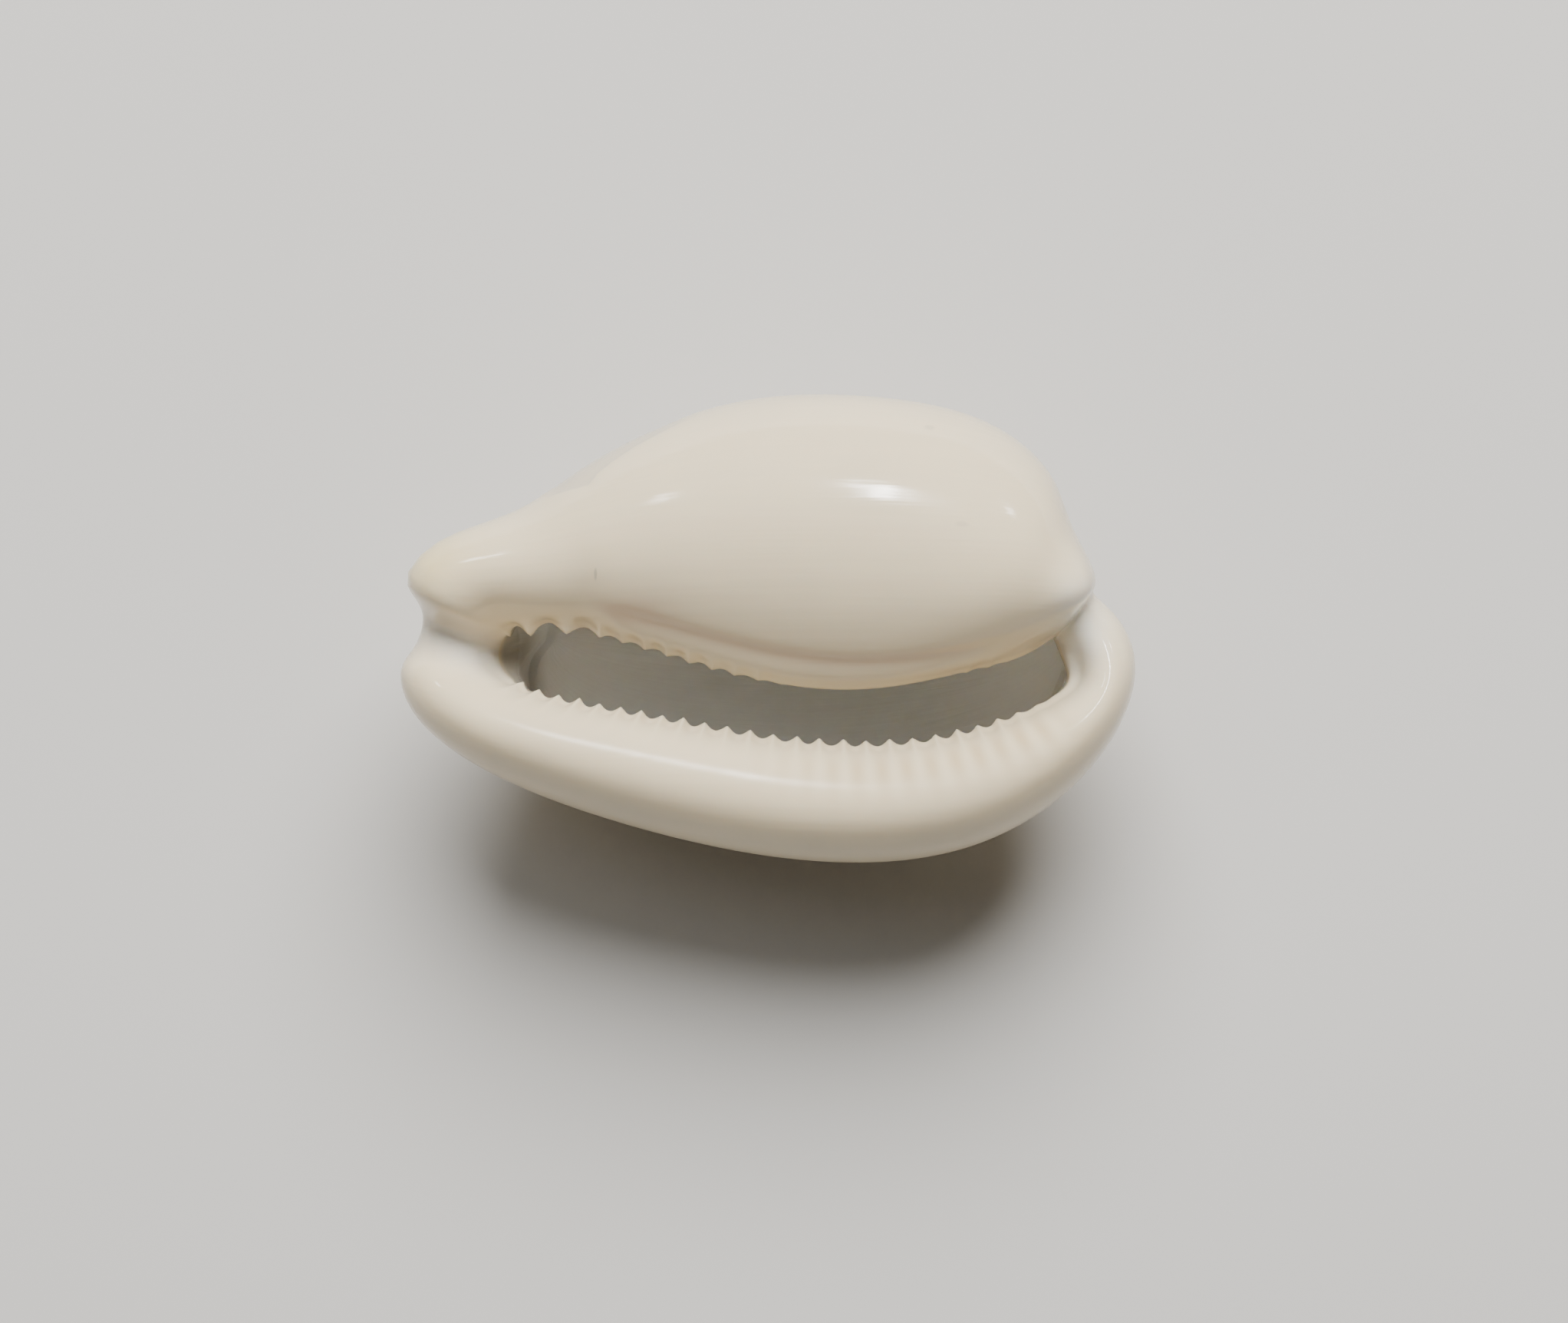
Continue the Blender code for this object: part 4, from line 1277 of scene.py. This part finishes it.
@dataclass
class CowrieShell:
    """The shell, one closed piece with a glossy outside and a satin inner wall."""

    form: ShellForm = field(default_factory=ShellForm)
    enamel: OuterEnamel = OuterEnamel()
    inner_wall: InnerWall = InnerWall()
    teeth: TeethTree = TeethTree()
    flat_rings: tuple[float, ...] = (0.97, 0.6)      # rings on the flat spot, as shares of it

    def surface(self) -> tuple[Array, dict[str, Array]]:
        """The surface without its teeth.

        Returns:
            Its points in shell axes, as columns by rings, and its attributes.
        """
        relief = ShellRelief(self.form)
        smooth, away = self.form.grid()
        points = relief.carved(smooth, away)
        centre = np.array(self.form.cavity_centre)
        turn = np.arctan2(points[..., 2] - centre[2], points[..., 1] - centre[1])
        reach = np.linalg.norm((points - centre)[..., 1:], axis=2)
        attributes = relief.teeth(away) | ShellTints(relief).masks(smooth, away)
        attributes["growth"] = turn * np.median(reach)
        wall = (Stretch.WALL, Stretch.ROOF)
        wall_start = sum(r.count for r in self.form.rings if r.stretch not in wall)
        attributes["inner_wall"] = (np.arange(points.shape[1]) >= wall_start) + 0 * away
        return points, attributes

    def fitted(self, points: Array) -> Array:
        """Keeps the surface within the box of the part's solid.

        Args:
            points: The surface's points, in the world.

        Returns:
            The points, moved a little where they would stand out.
        """
        low, high = (np.array(corner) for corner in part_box("shell"))
        own_low, own_high = points.min(axis=0), points.max(axis=0)
        scale = np.minimum((high - low) / (own_high - own_low), 1.0)
        middle = (low + high) / 2
        fitted = middle + (points - (own_low + own_high) / 2) * scale
        fitted[:, 2] += low[2] - fitted[:, 2].min()
        return fitted

    def mesh(self) -> bpy.types.Mesh:
        """Builds the closed mesh without its teeth."""
        points, attributes = self.surface()
        strides = self.form.strides()
        rings = [points[::stride, ring] for ring, stride in enumerate(strides)]
        middle = self.form.flat_middle()
        flats = [middle + (rings[0] - middle) * share for share in reversed(self.flat_rings)]
        sizes = [len(ring) for ring in flats + rings]
        starts = np.concatenate([[1], 1 + np.cumsum(sizes)])
        faces = list(fan(0, starts[0], sizes[0], flip=True))
        for ring in range(len(sizes) - 1):
            faces += bridge(starts[ring], sizes[ring], starts[ring + 1], sizes[ring + 1])
        last = int(starts[-1])
        faces += fan(last, starts[-2], sizes[-1], flip=False)
        everything = np.concatenate([[middle], *flats, *rings, [self.form.roof_top()]])
        world = self.fitted(self.form.to_world(everything))
        data = bpy.data.meshes.new("shell_enamelled")
        data.from_pydata(world.tolist(), [], faces)
        for name, values in attributes.items():
            outside = np.full(1 + sum(len(flat) for flat in flats), values[0, 0])
            body = [values[::stride, ring] for ring, stride in enumerate(strides)]
            spread = np.concatenate([outside, *body, [values[0, -1]]])
            data.attributes.new(name, "FLOAT", "POINT").data.foreach_set("value", spread)
        data.shade_smooth()
        data.update()
        return data

    def mark_places(self, data: bpy.types.Mesh) -> tuple[Vector, ...]:
        """Where the enamel's marks lie on the mouth side.

        Args:
            data: The shell's mesh.

        Returns:
            A place for each mark, in world metres.
        """
        world = np.empty(len(data.vertices) * 3)
        data.vertices.foreach_get("co", world)
        world = world.reshape(-1, 3)
        shell = self.form.to_shell(world)
        high = np.flatnonzero(shell[:, 2] > 0)
        places = []
        for mark in self.enamel.marks:
            gaps = np.hypot(shell[high, 0] - mark.x, shell[high, 1] - mark.v)
            places.append(Vector(world[high[np.argmin(gaps)]]))
        return tuple(places)

    def build(self) -> bpy.types.Object:
        """Builds and dresses the shell.

        Returns:
            The finished piece, a plain mesh.
        """
        data = self.mesh()
        groups = {"clouds": cloud_group(), "growth": growth_group()}
        enamel = replace(self.enamel, places=self.mark_places(data), mark_tree=mark_group())
        finishes = {
            "Enamel": enamel.build(groups),
            "Inner wall": self.inner_wall.build(groups),
        }
        draft = bpy.data.objects.new("shell_draft", data)
        bpy.context.scene.collection.objects.link(draft)
        modifier = draft.modifiers.new("teeth", "NODES")
        modifier.node_group = self.teeth.build()
        for socket in modifier.node_group.interface.items_tree:
            if socket.name in finishes:
                modifier[socket.identifier] = finishes[socket.name]
        graph = bpy.context.evaluated_depsgraph_get()
        finished = bpy.data.meshes.new_from_object(draft.evaluated_get(graph))
        draft.modifiers.remove(modifier)
        bpy.data.objects.remove(draft, do_unlink=True)
        finished.name = "shell_enamelled"
        piece = bpy.data.objects.new("shell_enamelled", finished)
        bpy.context.scene.collection.objects.link(piece)
        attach(piece, "root")
        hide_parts("shell")
        LOG.info("%s: %d points, %d faces", piece.name, len(finished.vertices), len(finished.polygons))
        return piece


def fan(middle: int, start: int, count: int, flip: bool) -> Iterable[tuple[int, int, int]]:
    """Triangles between a point and a closed ring round it.

    Args:
        middle: The point's number.
        start: The number of the ring's first point.
        count: How many points the ring has.
        flip: Whether the triangles face the other way.

    Returns:
        The triangles.
    """
    for step in range(count):
        first, second = int(start + step), int(start + (step + 1) % count)
        yield (middle, second, first) if flip else (first, second, middle)


def bridge(
    low_start: int, low_count: int, high_start: int, high_count: int
) -> list[tuple[int, ...]]:
    """Faces between two closed rings, which may have different numbers of points.

    Args:
        low_start: The number of the lower ring's first point.
        low_count: How many points it has.
        high_start: The number of the upper ring's first point.
        high_count: How many points it has.

    Returns:
        Quads where both rings have as many points, and triangles otherwise.
    """
    lower = [int(low_start + step % low_count) for step in range(low_count + 1)]
    upper = [int(high_start + step % high_count) for step in range(high_count + 1)]
    if low_count == high_count:
        return list(zip(lower, lower[1:], upper[1:], upper))
    faces = []
    low, high = 0, 0
    while low < low_count or high < high_count:
        if (low + HALF) / low_count <= (high + HALF) / high_count:
            faces.append((lower[low], lower[low + 1], upper[high]))
            low += 1
        else:
            faces.append((lower[low], upper[high + 1], upper[high]))
            high += 1
    return faces


@dataclass(frozen=True)
class Lamp:
    """A soft lamp of the studio, by its direction and size.

    right and up are how far it stands off the camera's line of sight, in degrees, to the
    right and to the top of the picture. distance and size are in metres and power in watts.
    tall is its height as a share of its width. A soft lamp lights the shell and isn't
    mirrored in it, and a glint is only mirrored.
    """

    name: str
    right: float
    up: float
    distance: float
    size: float
    power: float
    colour: Colour = (1.0, 1.0, 1.0)
    tall: float = 1.0
    glint: bool = False


@dataclass
class Studio:
    """Pale floor, soft light and the camera."""

    form: ShellForm
    target: tuple[float, float] = (2.07, 1.58)      # x and v in the middle of the picture
    distance: float = 800.0                         # camera to the shell's w zero
    lens: float = 149.9
    floor_size: float = 3.0
    floor_colour: Colour = (0.62, 0.61, 0.59)
    floor_roughness: float = 0.9
    world_colour: Colour = (0.05, 0.05, 0.052)
    lamps: tuple[Lamp, ...] = (
        Lamp("key_lamp", 4.0, 51.0, 1.3, 1.2, 45.0, (1.0, 0.98, 0.95)),
        Lamp("fill_lamp", -20.0, 25.0, 1.5, 0.9, 3.5, (0.97, 0.99, 1.0)),
        Lamp("glint_high", 6.5, 49.5, 1.3, 0.045, 3.4, tall=6.0, glint=True),
        Lamp("glint_high_left", 4.2, 52.5, 1.3, 0.03, 0.6, tall=4.0, glint=True),
        Lamp("glint_right", 30.0, 66.0, 1.3, 0.08, 0.8, tall=2.0, glint=True),
        Lamp("glint_left", -24.0, 58.0, 1.3, 0.08, 0.9, tall=2.0, glint=True),
    )

    def build_floor(self) -> None:
        """Lays the floor."""
        half = self.floor_size / 2
        corners = [(-half, -half, 0.0), (half, -half, 0.0), (half, half, 0.0), (-half, half, 0.0)]
        data = bpy.data.meshes.new("floor")
        data.from_pydata(corners, [], [(0, 1, 2, 3)])
        material = bpy.data.materials.new("pale_floor")
        material.use_nodes = True
        shader = material.node_tree.nodes["Principled BSDF"]
        shader.inputs["Base Color"].default_value = solid_colour(self.floor_colour)
        shader.inputs["Roughness"].default_value = self.floor_roughness
        data.materials.append(material)
        floor = bpy.data.objects.new("floor", data)
        bpy.context.scene.collection.objects.link(floor)

    def aim(self) -> Matrix:
        """The camera's turn, whose columns are the picture's right, its top and the way back."""
        return Matrix.Rotation(math.radians(self.form.tilt), 4, "X")

    def build_lamps(self) -> None:
        """Hangs the lamps, each turned towards the shell."""
        middle = Vector(self.form.to_world(np.array([*self.target, 0.0])))
        for lamp in self.lamps:
            light = bpy.data.lights.new(lamp.name, "AREA")
            light.shape = "ELLIPSE"
            light.size = lamp.size
            light.size_y = lamp.size * lamp.tall
            light.energy = lamp.power
            light.color = lamp.colour
            turn = Matrix.Rotation(math.radians(lamp.right), 4, "Y")
            turn = Matrix.Rotation(-math.radians(lamp.up), 4, "X") @ turn
            way = self.aim() @ turn @ Vector((0.0, 0.0, 1.0))
            holder = bpy.data.objects.new(lamp.name, light)
            holder.location = middle + way * lamp.distance
            holder.rotation_euler = way.to_track_quat("Z", "Y").to_euler()
            holder.visible_glossy = lamp.glint
            holder.visible_diffuse = not lamp.glint
            bpy.context.scene.collection.objects.link(holder)

    def build_camera(self) -> None:
        """Sets the camera straight over the mouth."""
        data = bpy.data.cameras.new("camera")
        data.lens = self.lens
        camera = bpy.data.objects.new("camera", data)
        place = Vector(self.form.to_world(np.array([*self.target, self.distance])))
        camera.matrix_world = Matrix.Translation(place) @ self.aim()
        bpy.context.scene.collection.objects.link(camera)
        bpy.context.scene.camera = camera

    def build_world(self) -> None:
        """Sets the room's even light."""
        world = bpy.data.worlds.new("room")
        world.use_nodes = True
        background = world.node_tree.nodes["Background"]
        background.inputs["Color"].default_value = solid_colour(self.world_colour)
        bpy.context.scene.world = world

    def build(self) -> None:
        """Builds the whole studio."""
        self.build_floor()
        self.build_lamps()
        self.build_camera()
        self.build_world()
        LOG.info("studio: %d lamps", len(self.lamps))


def main() -> None:
    """Builds the studio and the shell."""
    logging.basicConfig(level=logging.INFO, format="%(name)s: %(message)s")
    shell = CowrieShell()
    Studio(shell.form).build()
    shell.build()


if __name__ == "__main__":
    main()
